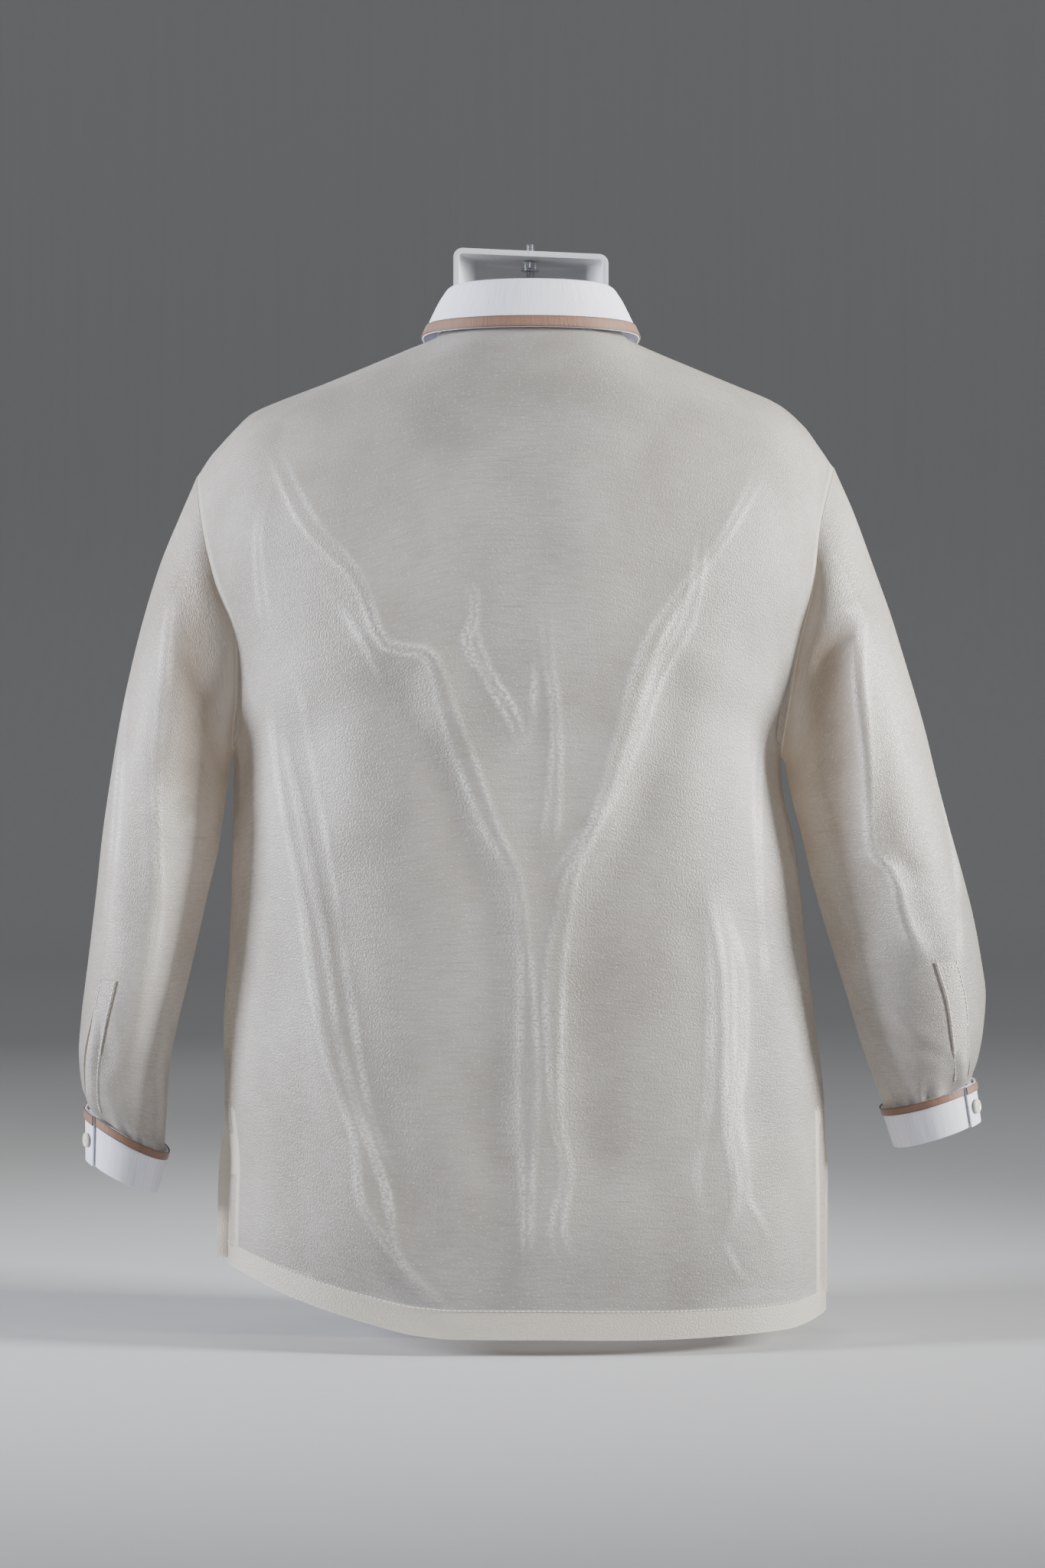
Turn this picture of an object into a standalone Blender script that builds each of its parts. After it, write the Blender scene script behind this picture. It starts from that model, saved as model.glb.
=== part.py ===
"""A barong tagalog shirt worn on a hollow-back torso form that stands on its base rim.

The shirt's front faces -Y and its back faces +Y, and the wearer's left is +X. Sizes in the tables are in
millimetres, with z = 0 on the floor. Each panel is a sheet of points worked out from the body's sections,
the folds and the seams, and is then thickened to a cloth wall. Table rows for the right side give distances
from the middle line as positive numbers.
"""

import math
from collections import namedtuple

import bmesh
import bpy
import numpy as np
from mathutils import Vector

MM = 0.001

# Where the middle of the tables' frame lies in the part's own frame, so that the whole is centred
MIDDLE_X = 3.0
MIDDLE_Y = 6.9

# Cloth and seams
CLOTH = 1.2
HEM_CLOTH = 2.4
HEM_SHARE = 0.13
HEM_TAPER = 0.04
NECK_EASE = 0.9
NECK_EASE_FROM = 0.92
NECK_EASE_OVER = 0.07
SEAM_GAP = 0.3
CLOTH_EASE = 0.75
LAYER = CLOTH + SEAM_GAP + CLOTH_EASE
TRIM_CLOTH = 1.0
TRIM_GAP = 0.45
ARMHOLE_GAP = 2.4

# The shirt's main levels
ARMPIT = 437.0
VENT_TOP = 172.0
VENT_STEP_BACK = {"left": 9.0, "right": 2.0}
VENT_OPEN = 7.0
VENT_TAPER = 40.0
HEM_CORNER = 40.0
SHOULDER_TIP_LEFT = 640.0
SHOULDER_TIP_RIGHT = 650.0
ROLL_START = 0.80
ROLL_ROWS_FROM = 0.66
BACK_ROWS = 25
BACK_COLUMNS = 27
FRONT_ROWS = 21
FRONT_COLUMNS = 13
HEM_ROWS = 2
SHOULDER_SEAM_Y = 2.0
SHOULDER_GAP = 0.9

# Side edges of the body from hem to shoulder tip: below the armpit the side seams, above it the armholes
Edge = namedtuple("Edge", "height left right")
EDGES = (
    Edge(20, 234, 225),
    Edge(110, 233, 225),
    Edge(180, 228, 222),
    Edge(230, 229, 216),
    Edge(300, 224, 208),
    Edge(370, 222, 200),
    Edge(410, 221, 191),
    Edge(437, 221, 189),
    Edge(475, 216, 193),
    Edge(513, 215, 199),
    Edge(560, 231, 210),
    Edge(600, 241, 215),
    Edge(655, 250, 230),
)

# Depth of the body in front of and behind the side seams, and how boxy its section is
Depth = namedtuple("Depth", "height back front")
DEPTHS = (
    Depth(10, 102, 106),
    Depth(150, 97, 107),
    Depth(300, 93, 110),
    Depth(430, 95, 117),
    Depth(520, 98, 116),
    Depth(620, 92, 104),
    Depth(760, 78, 84),
)
ARMHOLE_BACK = 50.0
ARMHOLE_FRONT = 50.0
SECTION_POWER = 2.3
SIDE_ROUNDNESS = 0.5
ARMHOLE_ROUNDNESS = 0.8
ARMHOLE_ROUNDS_BY = 4.0

# The upper edge: neckline, then shoulder seam out to the shoulder tip
Top = namedtuple("Top", "out left right")
BACK_TOP = (
    Top(0, 750, 750),
    Top(45, 749, 749),
    Top(72, 745, 745),
    Top(109, 731, 731),
    Top(150, 714, 714),
    Top(187, 700, 698),
    Top(207, 691, 681),
    Top(220, 679, 663),
    Top(229, 669, 650),
    Top(238, 659, 640),
    Top(250, 640, 630),
)

# The hem's height across the back and the front
Hem = namedtuple("Hem", "x back front")
HEMS = (
    Hem(-225, 22, 30),
    Hem(-190, 14, 24),
    Hem(-90, 12, 20),
    Hem(0, 13, 18),
    Hem(50, 13, 19),
    Hem(80, 15, 21),
    Hem(116, 23, 25),
    Hem(170, 38, 34),
    Hem(215, 54, 52),
    Hem(234, 58, 57),
)

# The neck opening, seen from above, and the rings of the collar about it
Ring = namedtuple("Ring", "half_width back front height_back height_front late_drop")
NECK_X = -2.0
NECK_Y = 4.0
NECK_SEAM = Ring(72, 44, 60, 750, 692, 3.2)
STAND_FOOT = Ring(70.2, 42.6, 58.4, 752.6, 695, 3.2)
STAND_TOP = Ring(60.3, 44, 52, 782, 742, 3.2)
FOLD = Ring(61.7, 45.6, 53.6, 784.6, 744.6, 3.2)
FALL_UPPER = Ring(67, 49, 59, 778, 735, 3.6)
FALL_MIDDLE = Ring(73.5, 52, 67, 765, 716, 4.4)
FALL_EDGE = Ring(81, 55.5, 78, 748, 692, 5.2)
COLLAR_OPENING = 12.0
COLLAR_TRIM_FROM = 0.84
FOLD_OPENING_SHARE = 0.35
COLLAR_COLUMNS = 30
COLLAR_ROWS = 4
STAND_COLUMNS = 24
STAND_ROWS = 2

# Soft ridges (height above 0) and troughs of the back, each along a path of x and z
Fold = namedtuple("Fold", "height width path")
BACK_FOLDS = (
    Fold(6.0, 17, ((190, 664), (160, 603), (124, 562), (101, 512), (74, 508), (55, 457), (27, 382), (8, 340),
                   (2, 288), (0, 205), (1, 90))),
    Fold(-6.5, 22, ((120, 520), (84, 470), (52, 400), (30, 330), (22, 240), (24, 120))),
    Fold(6.5, 17, ((-172, 645), (-142, 592), (-114, 556), (-86, 508), (-70, 457), (-50, 391), (-28, 336),
                   (-18, 262), (-19, 177), (-20, 80))),
    Fold(-6.5, 22, ((-116, 512), (-98, 452), (-76, 390), (-54, 330), (-44, 250), (-46, 120))),
    Fold(3.0, 14, ((-10, 545), (-14, 500), (-19, 450), (-16, 400), (-15, 350))),
    Fold(-7.0, 40, ((2, 600), (0, 520), (-8, 440), (-8, 390))),
    Fold(8.0, 17, ((192, 484), (182, 404), (166, 329), (158, 270), (134, 181), (122, 124), (98, 89),
                   (62, 40))),
    Fold(-7.0, 21, ((168, 470), (152, 380), (134, 290), (108, 190), (90, 130), (66, 84))),
    Fold(7.0, 17, ((-130, 343), (-138, 216), (-146, 150), (-152, 108), (-171, 70))),
    Fold(-7.5, 20, ((-160, 330), (-166, 220), (-176, 150), (-188, 96))),
    Fold(5.0, 34, ((-176, 470), (-180, 400), (-182, 320))),
    Fold(-3.0, 26, ((-92, 300), (-92, 200), (-96, 60))),
)
FRONT_FOLDS = (
    Fold(7.0, 18, ((150, 520), (138, 420), (128, 300), (124, 180), (130, 40))),
    Fold(-5.0, 19, ((96, 470), (84, 340), (82, 200), (86, 60))),
    Fold(5.0, 17, ((52, 400), (48, 260), (52, 60))),
    Fold(7.5, 18, ((-140, 500), (-128, 380), (-132, 240), (-126, 40))),
    Fold(-5.5, 20, ((-92, 450), (-84, 320), (-90, 160), (-84, 40))),
    Fold(5.5, 17, ((-54, 360), (-56, 210), (-50, 40))),
    Fold(-5.0, 22, ((176, 470), (172, 330), (176, 200))),
    Fold(-5.0, 22, ((-166, 460), (-164, 330), (-170, 190))),
)

# Sleeves: the outer and inner edges seen from behind, and the depth behind and in front of that line
Sleeve = namedtuple("Sleeve", "outer_x outer_z inner_x inner_z back front")
SLEEVE_LEFT = (
    Sleeve(251, 639, 222.5, 436, 50, 50),
    Sleeve(262, 612, 223.5, 432, 57, 55),
    Sleeve(276, 577, 224.5, 427, 61, 60),
    Sleeve(287, 541, 225.5, 420, 63, 62),
    Sleeve(297, 500, 226.5, 411, 64, 63),
    Sleeve(306, 456, 228, 400, 64, 63),
    Sleeve(313, 414, 230, 384, 63, 62),
    Sleeve(319, 374, 233, 362, 61, 61),
    Sleeve(323, 338, 240, 332, 60, 60),
    Sleeve(327, 304, 248, 298, 59, 59),
    Sleeve(331, 270, 256, 264, 57, 57),
    Sleeve(335, 238, 264, 230, 53, 53),
    Sleeve(337, 212, 270, 197, 49, 49),
    Sleeve(335, 188, 272, 163, 45, 45),
)
SLEEVE_RIGHT = (
    Sleeve(231, 649, 191, 436, 50, 50),
    Sleeve(243, 620, 192.3, 432, 57, 55),
    Sleeve(258, 577, 193.2, 427, 61, 60),
    Sleeve(271, 541, 194, 420, 63, 62),
    Sleeve(284, 498, 196, 411, 64, 63),
    Sleeve(296, 456, 198, 401, 64, 63),
    Sleeve(306, 416, 202, 387, 63, 62),
    Sleeve(316, 380, 207, 368, 61, 61),
    Sleeve(325, 348, 214, 340, 60, 60),
    Sleeve(333, 315, 223, 308, 59, 59),
    Sleeve(339, 284, 232, 277, 57, 57),
    Sleeve(343, 255, 241, 248, 54, 54),
    Sleeve(341, 229, 249, 222, 50, 50),
    Sleeve(337, 207, 258, 196, 45, 45),
)
SLEEVE_FOLDS_LEFT = (
    Fold(-13.0, 17, ((252, 590), (246, 520), (246, 450), (252, 380))),
    Fold(7.0, 11, ((272, 420), (270, 340), (280, 260), (290, 200))),
    Fold(6.0, 12, ((306, 560), (300, 470), (304, 380), (312, 300))),
    Fold(-5.0, 10, ((240, 398), (256, 392), (272, 384))),
)
SLEEVE_FOLDS_RIGHT = (
    Fold(-17.0, 21, ((216, 530), (222, 470), (226, 400), (238, 330), (246, 280))),
    Fold(8.0, 10, ((250, 545), (244, 500), (247, 430), (251, 350), (268, 318), (284, 276))),
    Fold(-6.0, 9, ((256, 360), (272, 350), (290, 344))),
    Fold(6.0, 13, ((300, 520), (308, 430), (318, 340), (318, 260))),
)

# Cuffs: the upper and lower rings, and where each opens, as an angle from the outer edge towards the back
CUFF_LEFT = (Sleeve(330.5, 173, 271, 137, 40.5, 40.5), Sleeve(330, 134, 279, 107, 38, 38))
CUFF_RIGHT = (Sleeve(334, 192, 265.5, 170, 40.5, 40.5), Sleeve(338, 162, 275, 141, 38, 38))
CUFF_CLOTH = 1.6
CUFF_TUCK = 2.6
CUFF_TUCK_SHARE = 0.16
CUFF_OPENS = 0.50
CUFF_OVERLAP = 0.36
CUFF_LIFT_TURN = 0.40
CUFF_EASE = 0.3
CUFF_ROWS = 2
SLEEVE_ROWS = 21
SLEEVE_COLUMNS = 18
ARMHOLE_BLEND_BY = 7.0
FOLDS_START_BY = 6.0
FOLDS_END_BY = 8.0
CUFF_COLUMNS = 28
CUFF_TRIM_FROM = 2
CUFF_TRIM_SHARE = 0.19
CUFF_BUTTON_AT = 0.965
CUFF_BUTTON_DROP = 0.55

# The sleeve placket's strip, as angles on the sleeve and shares of its length
PLACKET_FOOT = 0.90
PLACKET_HEAD = 0.665
PLACKET_LAYER = {"left": 1.75, "right": 2.1}
PLACKET_ANGLE_FOOT = 0.94
PLACKET_ANGLE_HEAD = 1.16
PLACKET_TURN = 0.36
PLACKET_ROWS = 6
PLACKET_COLUMNS = 4

# The front's band and overlap
BAND_WIDTH = 34.0
OVERLAP = 15.0
FRONT_HALF = 215.0
FRONT_BUTTONS = (0.14, 0.30, 0.46, 0.62, 0.78, 0.93)
BUTTON_RADIUS = 5.4
BUTTON_DEPTH = 2.2
BUTTON_EDGE = 0.5
BUTTON_EASE = 0.2
BUTTON_SIDES = 12
BAND_COLUMNS = 3

# The torso form: a moulded shell with an open back
Form = namedtuple("Form", "height half_width front back power")
FORM_WALL = 4.0
FORM = (
    Form(-8, 20, 60, 20, 2.3),
    Form(0, 48, 68, 20, 2.3),
    Form(7, 80, 76, 20, 2.4),
    Form(15, 106, 82, 20, 2.5),
    Form(25, 130, 86, 20, 2.5),
    Form(38, 150, 88, 20, 2.5),
    Form(56, 163, 88.5, 20, 2.5),
    Form(90, 168, 90.5, 20, 2.5),
    Form(170, 166, 92.5, 20, 2.5),
    Form(270, 166, 94.5, 20, 2.5),
    Form(380, 172, 99.5, 20, 2.5),
    Form(480, 178, 100.5, 20, 2.5),
    Form(560, 184, 93.5, 20, 2.4),
    Form(620, 188, 81.5, 20, 2.3),
    Form(655, 187, 69.5, 20, 2.2),
    Form(684, 184, 54, 19, 1.9),
    Form(699.8, 168, 44, 18, 1.7),
    Form(709.8, 146, 37, 17, 1.55),
    Form(724.2, 112, 31, 14, 1.5),
    Form(735.4, 82, 29, 12, 1.6),
    Form(742.6, 64, 33, 10, 1.8),
    Form(750, 59, 39, 8, 2.0),
    Form(758, 57, 42, 8, 2.1),
    Form(780, 56, 42, 8, 2.3),
    Form(809, 56, 42, 8, 2.3),
)
CAP_TOP = 812.0
CAP_TILT = 0.045
CAP_TILT_FROM = 760.0
NECK_SHIFT_FROM = 700.0
NECK_SHIFT_OVER = 40.0
FORM_COLUMNS = 22
FORM_ROWS = 24

# The threaded rod through the cap, with its nut and washer
ROD_X = -1.5
ROD_Y = -16.0
ROD_RADIUS = 3.0
ROD_TOP = 821.0
ROD_FOOT = 742.0
NUT_ACROSS = 10.0
NUT_DEPTH = 5.2
WASHER_RADIUS = 6.8
WASHER_DEPTH = 1.5
WASHER_SIDES = 24
ROD_SIDES = 16
BORE_SIDES = 20
FIT = 0.3
TILT_EASE = 0.3
BORE_LENGTH = 60.0
FLOOR_SPAN = 0.6
FLOOR_DEPTH = 0.1
WELD = 1e-6

# Small step along a sheet for its normal
STEP = 0.004
UP = Vector((0, 0, 1))

# Colours as linear values, with roughness and metal
Finish = namedtuple("Finish", "colour roughness metallic")
FINISHES = {
    "ivory_cloth": Finish((0.62, 0.59, 0.50), 0.45, 0.0),
    "white_cloth": Finish((0.72, 0.72, 0.75), 0.60, 0.0),
    "brown_band": Finish((0.26, 0.18, 0.14), 0.55, 0.0),
    "form_plastic": Finish((0.50, 0.51, 0.53), 0.50, 0.0),
    "steel": Finish((0.60, 0.60, 0.62), 0.25, 1.0),
    "button": Finish((0.66, 0.62, 0.52), 0.35, 0.0),
}


def curve_through(xs, ys):
    """A smooth curve through the points, with no overshoot, as a function of x."""
    xs, ys = np.array(xs, float), np.array(ys, float)
    steps = np.diff(xs)
    slopes = np.diff(ys) / steps
    leans = np.empty(len(ys))
    leans[0], leans[-1] = slopes[0], slopes[-1]
    for i in range(1, len(xs) - 1):
        before, after = slopes[i - 1], slopes[i]
        leans[i] = 0 if before * after <= 0 else 2 * before * after / (before + after)

    def at(x):
        x = min(max(x, xs[0]), xs[-1])
        i = min(max(int(np.searchsorted(xs, x, side="right")) - 1, 0), len(steps) - 1)
        t = (x - xs[i]) / steps[i]
        rise = ys[i] * (1 + 2 * t) * (1 - t) ** 2 + ys[i + 1] * t * t * (3 - 2 * t)
        return rise + steps[i] * (leans[i] * t * (1 - t) ** 2 + leans[i + 1] * t * t * (t - 1))

    return at


def column(rows, x_name, y_name):
    return curve_through([getattr(row, x_name) for row in rows], [getattr(row, y_name) for row in rows])


def eased(t):
    t = min(max(t, 0.0), 1.0)
    return t * t * (3 - 2 * t)


def off_path(x, z, path):
    """Distance from a point to a path of straight runs."""
    least = math.inf
    for (ax, az), (bx, bz) in zip(path, path[1:]):
        run_x, run_z = bx - ax, bz - az
        t = ((x - ax) * run_x + (z - az) * run_z) / (run_x * run_x + run_z * run_z)
        t = min(max(t, 0.0), 1.0)
        least = min(least, math.hypot(x - ax - t * run_x, z - az - t * run_z))
    return least


def fold_height(folds, x, z):
    return sum(fold.height * math.exp(-((off_path(x, z, fold.path) / fold.width) ** 2)) for fold in folds)


EDGE = {"left": column(EDGES, "height", "left"), "right": column(EDGES, "height", "right")}
DEPTH = {"back": column(DEPTHS, "height", "back"), "front": column(DEPTHS, "height", "front")}
TOP = {"left": column(BACK_TOP, "out", "left"), "right": column(BACK_TOP, "out", "right")}
HEM = {"back": column(HEMS, "x", "back"), "front": column(HEMS, "x", "front")}
TIP = {"left": SHOULDER_TIP_LEFT, "right": SHOULDER_TIP_RIGHT}
SIGN = {"left": 1, "right": -1}


def ring_point(ring, turn, grow=0.0):
    """A point of a ring about the neck; turn is 0 at the middle back and pi at the middle front."""
    side, fore = math.sin(turn), math.cos(turn)
    reach = ring.back if fore > 0 else ring.front
    drop = ((1 - fore) / 2) ** ring.late_drop
    z = ring.height_back + (ring.height_front - ring.height_back) * drop
    return Vector((NECK_X + (ring.half_width + grow) * side, NECK_Y + (reach + grow) * fore, z))


def neck_turn_at(x):
    """The turn on the neck seam, back half, at a distance x from the middle line."""
    return math.asin(min(max((x - NECK_X) / NECK_SEAM.half_width, -1.0), 1.0))


def roll_lean(v):
    """The lean of the sheet's normal where it rolls over the shoulder, as cosine and sine."""
    up = max(v - ROLL_START, 0) / (1 - ROLL_START)
    return math.sqrt(max(1 - up * up, 0)), up


def top_point(x, face):
    """The panel's upper edge at x: the shoulder seam, or the neckline between the neck points."""
    side = "left" if x > 0 else "right"
    inside = abs(x - NECK_X) < NECK_SEAM.half_width
    if not inside:
        y = SHOULDER_SEAM_Y + (SHOULDER_GAP / 2 if face == "back" else -SHOULDER_GAP / 2)
        return y, TOP[side](abs(x))
    turn = neck_turn_at(x)
    seam = ring_point(NECK_SEAM, turn if face == "back" else math.pi - turn)
    return seam.y, seam.z


def hem_corner(side, face):
    """The height of the panel's lower corner at the side seam."""
    return HEM[face](SIGN[side] * EDGE[side](HEM_CORNER))


def body_point(u, v, face):
    """A point of the back or front sheet; u runs from -1 (right) to 1 (left), v from hem to shoulder."""
    side = "left" if u > 0 else "right"
    outward = 1 if face == "back" else -1
    foot = hem_corner(side, face)
    edge_z = foot + v * (TIP[side] - foot)
    vent = eased((VENT_TOP - edge_z) / VENT_TAPER)
    half = EDGE[side](edge_z) - (VENT_STEP_BACK[side] * vent if face == "back" else 0)
    x = u * half
    top_x = u * EDGE[side](TIP[side])
    top_y, top_z = top_point(top_x, face)
    hem_z = HEM[face](x)
    z = hem_z + v * (top_z - hem_z)

    above = (edge_z - ARMPIT) / (TIP[side] - ARMPIT)
    armhole = ARMHOLE_BACK if face == "back" else ARMHOLE_FRONT
    edge_y = armhole * math.sqrt(max(1 - (2 * above - 1) ** 2, 0)) if above > 0 else 0
    if above <= 0:
        edge_y = SEAM_GAP + (VENT_OPEN * vent if face == "back" else 0)
    roundness = SIDE_ROUNDNESS + (ARMHOLE_ROUNDNESS - SIDE_ROUNDNESS) * eased(above * ARMHOLE_ROUNDS_BY)
    crown = (1 - abs(u) ** SECTION_POWER) ** roundness
    folds = fold_height(BACK_FOLDS if face == "back" else FRONT_FOLDS, x, z)
    level, _ = roll_lean(v)
    seam_part = edge_y * (level + (1 - level) * u * u)
    crown_part = level * (DEPTH[face](z) - edge_y + folds) * crown
    return Vector((x, top_y * (1 - level) + outward * (seam_part + crown_part), z))


def moved_out(point, distance):
    """The sheet that lies a distance out from another one, along its normals."""
    def at(a, b):
        a0, a1 = max(a - STEP, 0), min(a + STEP, 1)
        b0, b1 = max(b - STEP, 0), min(b + STEP, 1)
        normal = (point(a1, b) - point(a0, b)).cross(point(a, b1) - point(a, b0))
        return point(a, b) + normal.normalized() * distance

    return at


def part_of(point, a0, a1, b0, b1):
    """A rectangle of a sheet, as a sheet of its own."""
    return lambda a, b: point(a0 + a * (a1 - a0), b0 + b * (b1 - b0))


def roll_rows(v):
    """Rows closer together where the cloth rolls over the shoulder."""
    if v < ROLL_ROWS_FROM:
        return v / ROLL_ROWS_FROM * ROLL_START
    return ROLL_START + (1 - ROLL_START) * math.sin((v - ROLL_ROWS_FROM) / (1 - ROLL_ROWS_FROM) * math.pi / 2)


def back_sheet(a, b):
    return body_point(-math.cos(math.pi * a), roll_rows(b), "back")


def layer_at(v):
    """How far one cloth lies from the next, which is more over a turned hem."""
    over_hem = (HEM_CLOTH - CLOTH) * eased((HEM_SHARE - v) / HEM_TAPER)
    return LAYER + over_hem + NECK_EASE * eased((v - NECK_EASE_FROM) / NECK_EASE_OVER)


def front_sheet(side):
    """One front, between its edge just past the middle line and its side seam."""
    edge_turn = math.acos(-OVERLAP / FRONT_HALF)
    turns = (edge_turn, 0) if side == "left" else (math.pi, math.pi - edge_turn)

    def at(a, b):
        v = roll_rows(b)
        place = body_point(math.cos(turns[0] + a * (turns[1] - turns[0])), v, "front")
        if side == "left":
            return place
        level, up = roll_lean(v)
        under = layer_at(v) * eased((place.x + 3 * OVERLAP) / (2 * OVERLAP))
        return place + Vector((0, under * level, -under * up))

    return at


def sleeve_sheet(rows, side):
    """A sleeve from its armhole (b = 0) to its cuff; a turns from the outer edge to the back and round."""
    places = [row_at / (len(rows) - 1) for row_at in range(len(rows))]
    tables = {name: curve_through(places, [getattr(row, name) for row in rows]) for name in Sleeve._fields}
    sign = SIGN[side]
    folds = SLEEVE_FOLDS_LEFT if side == "left" else SLEEVE_FOLDS_RIGHT

    def at(a, b):
        turn = 2 * math.pi * a
        across, deep = math.cos(turn), math.sin(turn)
        along = b * SLEEVE_ROWS / (SLEEVE_ROWS - 1)
        last_row = 1 - places[-2]
        b = along * places[-2] if along < 1 else 1 + (b - 1) * SLEEVE_ROWS * last_row
        row = {name: table(b) for name, table in tables.items()}
        middle_x, middle_z = (row["outer_x"] + row["inner_x"]) / 2, (row["outer_z"] + row["inner_z"]) / 2
        x = middle_x + (row["outer_x"] - row["inner_x"]) / 2 * across
        z = middle_z + (row["outer_z"] - row["inner_z"]) / 2 * across
        y = (row["back"] if deep > 0 else row["front"]) * deep
        fade = eased(b * FOLDS_START_BY) * eased((1 - b) * FOLDS_END_BY)
        y += fold_height(folds, x, z) * fade * deep * abs(deep) if deep > 0 else 0
        start = armhole_point(turn, side)
        blend = 1 - eased(b * ARMHOLE_BLEND_BY)
        x += (start.x * sign - (rows[0].outer_x + rows[0].inner_x) / 2
              - (rows[0].outer_x - rows[0].inner_x) / 2 * across) * blend
        y += (start.y - (rows[0].back if deep > 0 else rows[0].front) * deep) * blend
        z += (start.z - (rows[0].outer_z + rows[0].inner_z) / 2
              - (rows[0].outer_z - rows[0].inner_z) / 2 * across) * blend
        return Vector((sign * (x + ARMHOLE_GAP * (1 - b)), y, z))

    return at


def tucked(rings, share):
    """A ring just inside the cuff, a share of the way down it, where the sleeve's end is sewn in."""
    ring = Sleeve(*(upper + share * (lower - upper) for upper, lower in zip(*rings)))
    return ring._replace(
        outer_x=ring.outer_x - CUFF_TUCK,
        inner_x=ring.inner_x + CUFF_TUCK,
        back=ring.back - CUFF_TUCK,
        front=ring.front - CUFF_TUCK,
    )


def armhole_point(turn, side):
    """The edge of the body's sheets at the armhole; turn is 0 at the shoulder tip and pi at the armpit."""
    sign = SIGN[side]
    face = "back" if math.sin(turn) >= 0 else "front"
    foot = hem_corner(side, face)
    z = ARMPIT + (TIP[side] - ARMPIT) * (1 + math.cos(turn)) / 2
    return body_point(sign, (z - foot) / (TIP[side] - foot), face)


def cuff_sheet(rings, side, out=0.0):
    """A cuff from its upper edge (b = 0); a runs once round and on over its own start."""
    sign = SIGN[side]

    def at(a, b):
        turned = a * (2 * math.pi + CUFF_OVERLAP)
        turn = CUFF_OPENS + turned
        lapping = eased((turned - 2 * math.pi + CUFF_LIFT_TURN) / CUFF_LIFT_TURN)
        lift = out + (CUFF_CLOTH + SEAM_GAP + CUFF_EASE) * lapping
        upper, lower = rings
        outer_x, outer_z, inner_x, inner_z, back, front = (
            upper[i] + b * (lower[i] - upper[i]) for i in range(len(upper))
        )
        across, deep = math.cos(turn), math.sin(turn)
        x = (outer_x + inner_x) / 2 + ((outer_x - inner_x) / 2 + lift) * across
        z = (outer_z + inner_z) / 2 + (outer_z - inner_z) / 2 * across
        y = ((back if deep > 0 else front) + lift) * deep
        return Vector((sign * x, y, z))

    return at


def collar_sheet(rings, out=0.0):
    """A collar piece through rings from its first edge to its last, open at the front."""
    places = [ring_at / (len(rings) - 1) for ring_at in range(len(rings))]
    tables = [curve_through(places, [ring[i] for ring in rings]) for i in range(len(Ring._fields))]

    def at(a, b):
        ring = Ring(*(table(b) for table in tables))
        gap = COLLAR_OPENING / ring.half_width * (FOLD_OPENING_SHARE + (1 - FOLD_OPENING_SHARE) * b)
        turn = (math.pi - gap) * (2 * a - 1)
        return ring_point(ring, turn, out)

    return at


def form_sheet(a, b):
    """The torso form from its left rim (a = 0) round the front to its right rim, from base to cap."""
    heights = [row.height for row in FORM]
    along = b * (len(FORM) - 1)
    z = curve_through(range(len(FORM)), heights)(along)
    half, front, back, power = (column(FORM, "height", name)(z) for name in Form._fields[1:])
    turn = math.pi * a
    across, fore = math.cos(turn), math.sin(turn)
    x = half * math.copysign(abs(across) ** (2 / power), across)
    y = back - (back + front) * abs(fore) ** (2 / power)
    neck = eased((z - NECK_SHIFT_FROM) / NECK_SHIFT_OVER)
    tilt = CAP_TILT * x * eased((z - CAP_TILT_FROM) / (FORM[-1].height - CAP_TILT_FROM))
    return Vector((x + NECK_X * neck, y, z + tilt))


def finish(name):
    """The material of a cloth, plastic or metal."""
    material = bpy.data.materials.get(name)
    if material:
        return material
    look = FINISHES[name]
    material = bpy.data.materials.new(name)
    material.use_nodes = True
    shader = material.node_tree.nodes["Principled BSDF"]
    shader.inputs["Base Color"].default_value = (*look.colour, 1)
    shader.inputs["Roughness"].default_value = look.roughness
    shader.inputs["Metallic"].default_value = look.metallic
    material.diffuse_color = (*look.colour, 1)
    return material


def placed(vector):
    return (vector + Vector((MIDDLE_X, MIDDLE_Y, 0))) * MM


def add_object(name, mesh, look, collection):
    piece = bpy.data.objects.new(name, mesh)
    collection.objects.link(piece)
    mesh.materials.clear()
    mesh.materials.append(finish(look))
    return piece


def add_sheet(name, sheet, across, along, wall, look, collection, closed=False, thick_rows=0):
    """A grid laid on the sheet's points and thickened both ways; thick_rows are a turned hem."""
    mesh = bpy.data.meshes.new(name)
    grid = bmesh.new()
    bmesh.ops.create_grid(grid, x_segments=across, y_segments=along, size=1)
    layer = grid.verts.layers.deform.verify()
    thin = wall / HEM_CLOTH
    for corner in grid.verts:
        a, b = (corner.co.x + 1) / 2, (corner.co.y + 1) / 2
        corner[layer][0] = 1.0 if round(b * along) < thick_rows else thin
        corner.co = placed(sheet(a, b))
    if closed:
        bmesh.ops.remove_doubles(grid, verts=grid.verts, dist=WELD)
    grid.to_mesh(mesh)
    grid.free()
    piece = add_object(name, mesh, look, collection)
    wall_modifier = piece.modifiers.new("Cloth wall", "SOLIDIFY")
    wall_modifier.offset = 0
    wall_modifier.thickness = wall * MM
    if thick_rows:
        piece.vertex_groups.new(name="Hem")
        wall_modifier.vertex_group = "Hem"
        wall_modifier.thickness = HEM_CLOTH * MM
    mesh.shade_smooth()
    return piece


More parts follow.
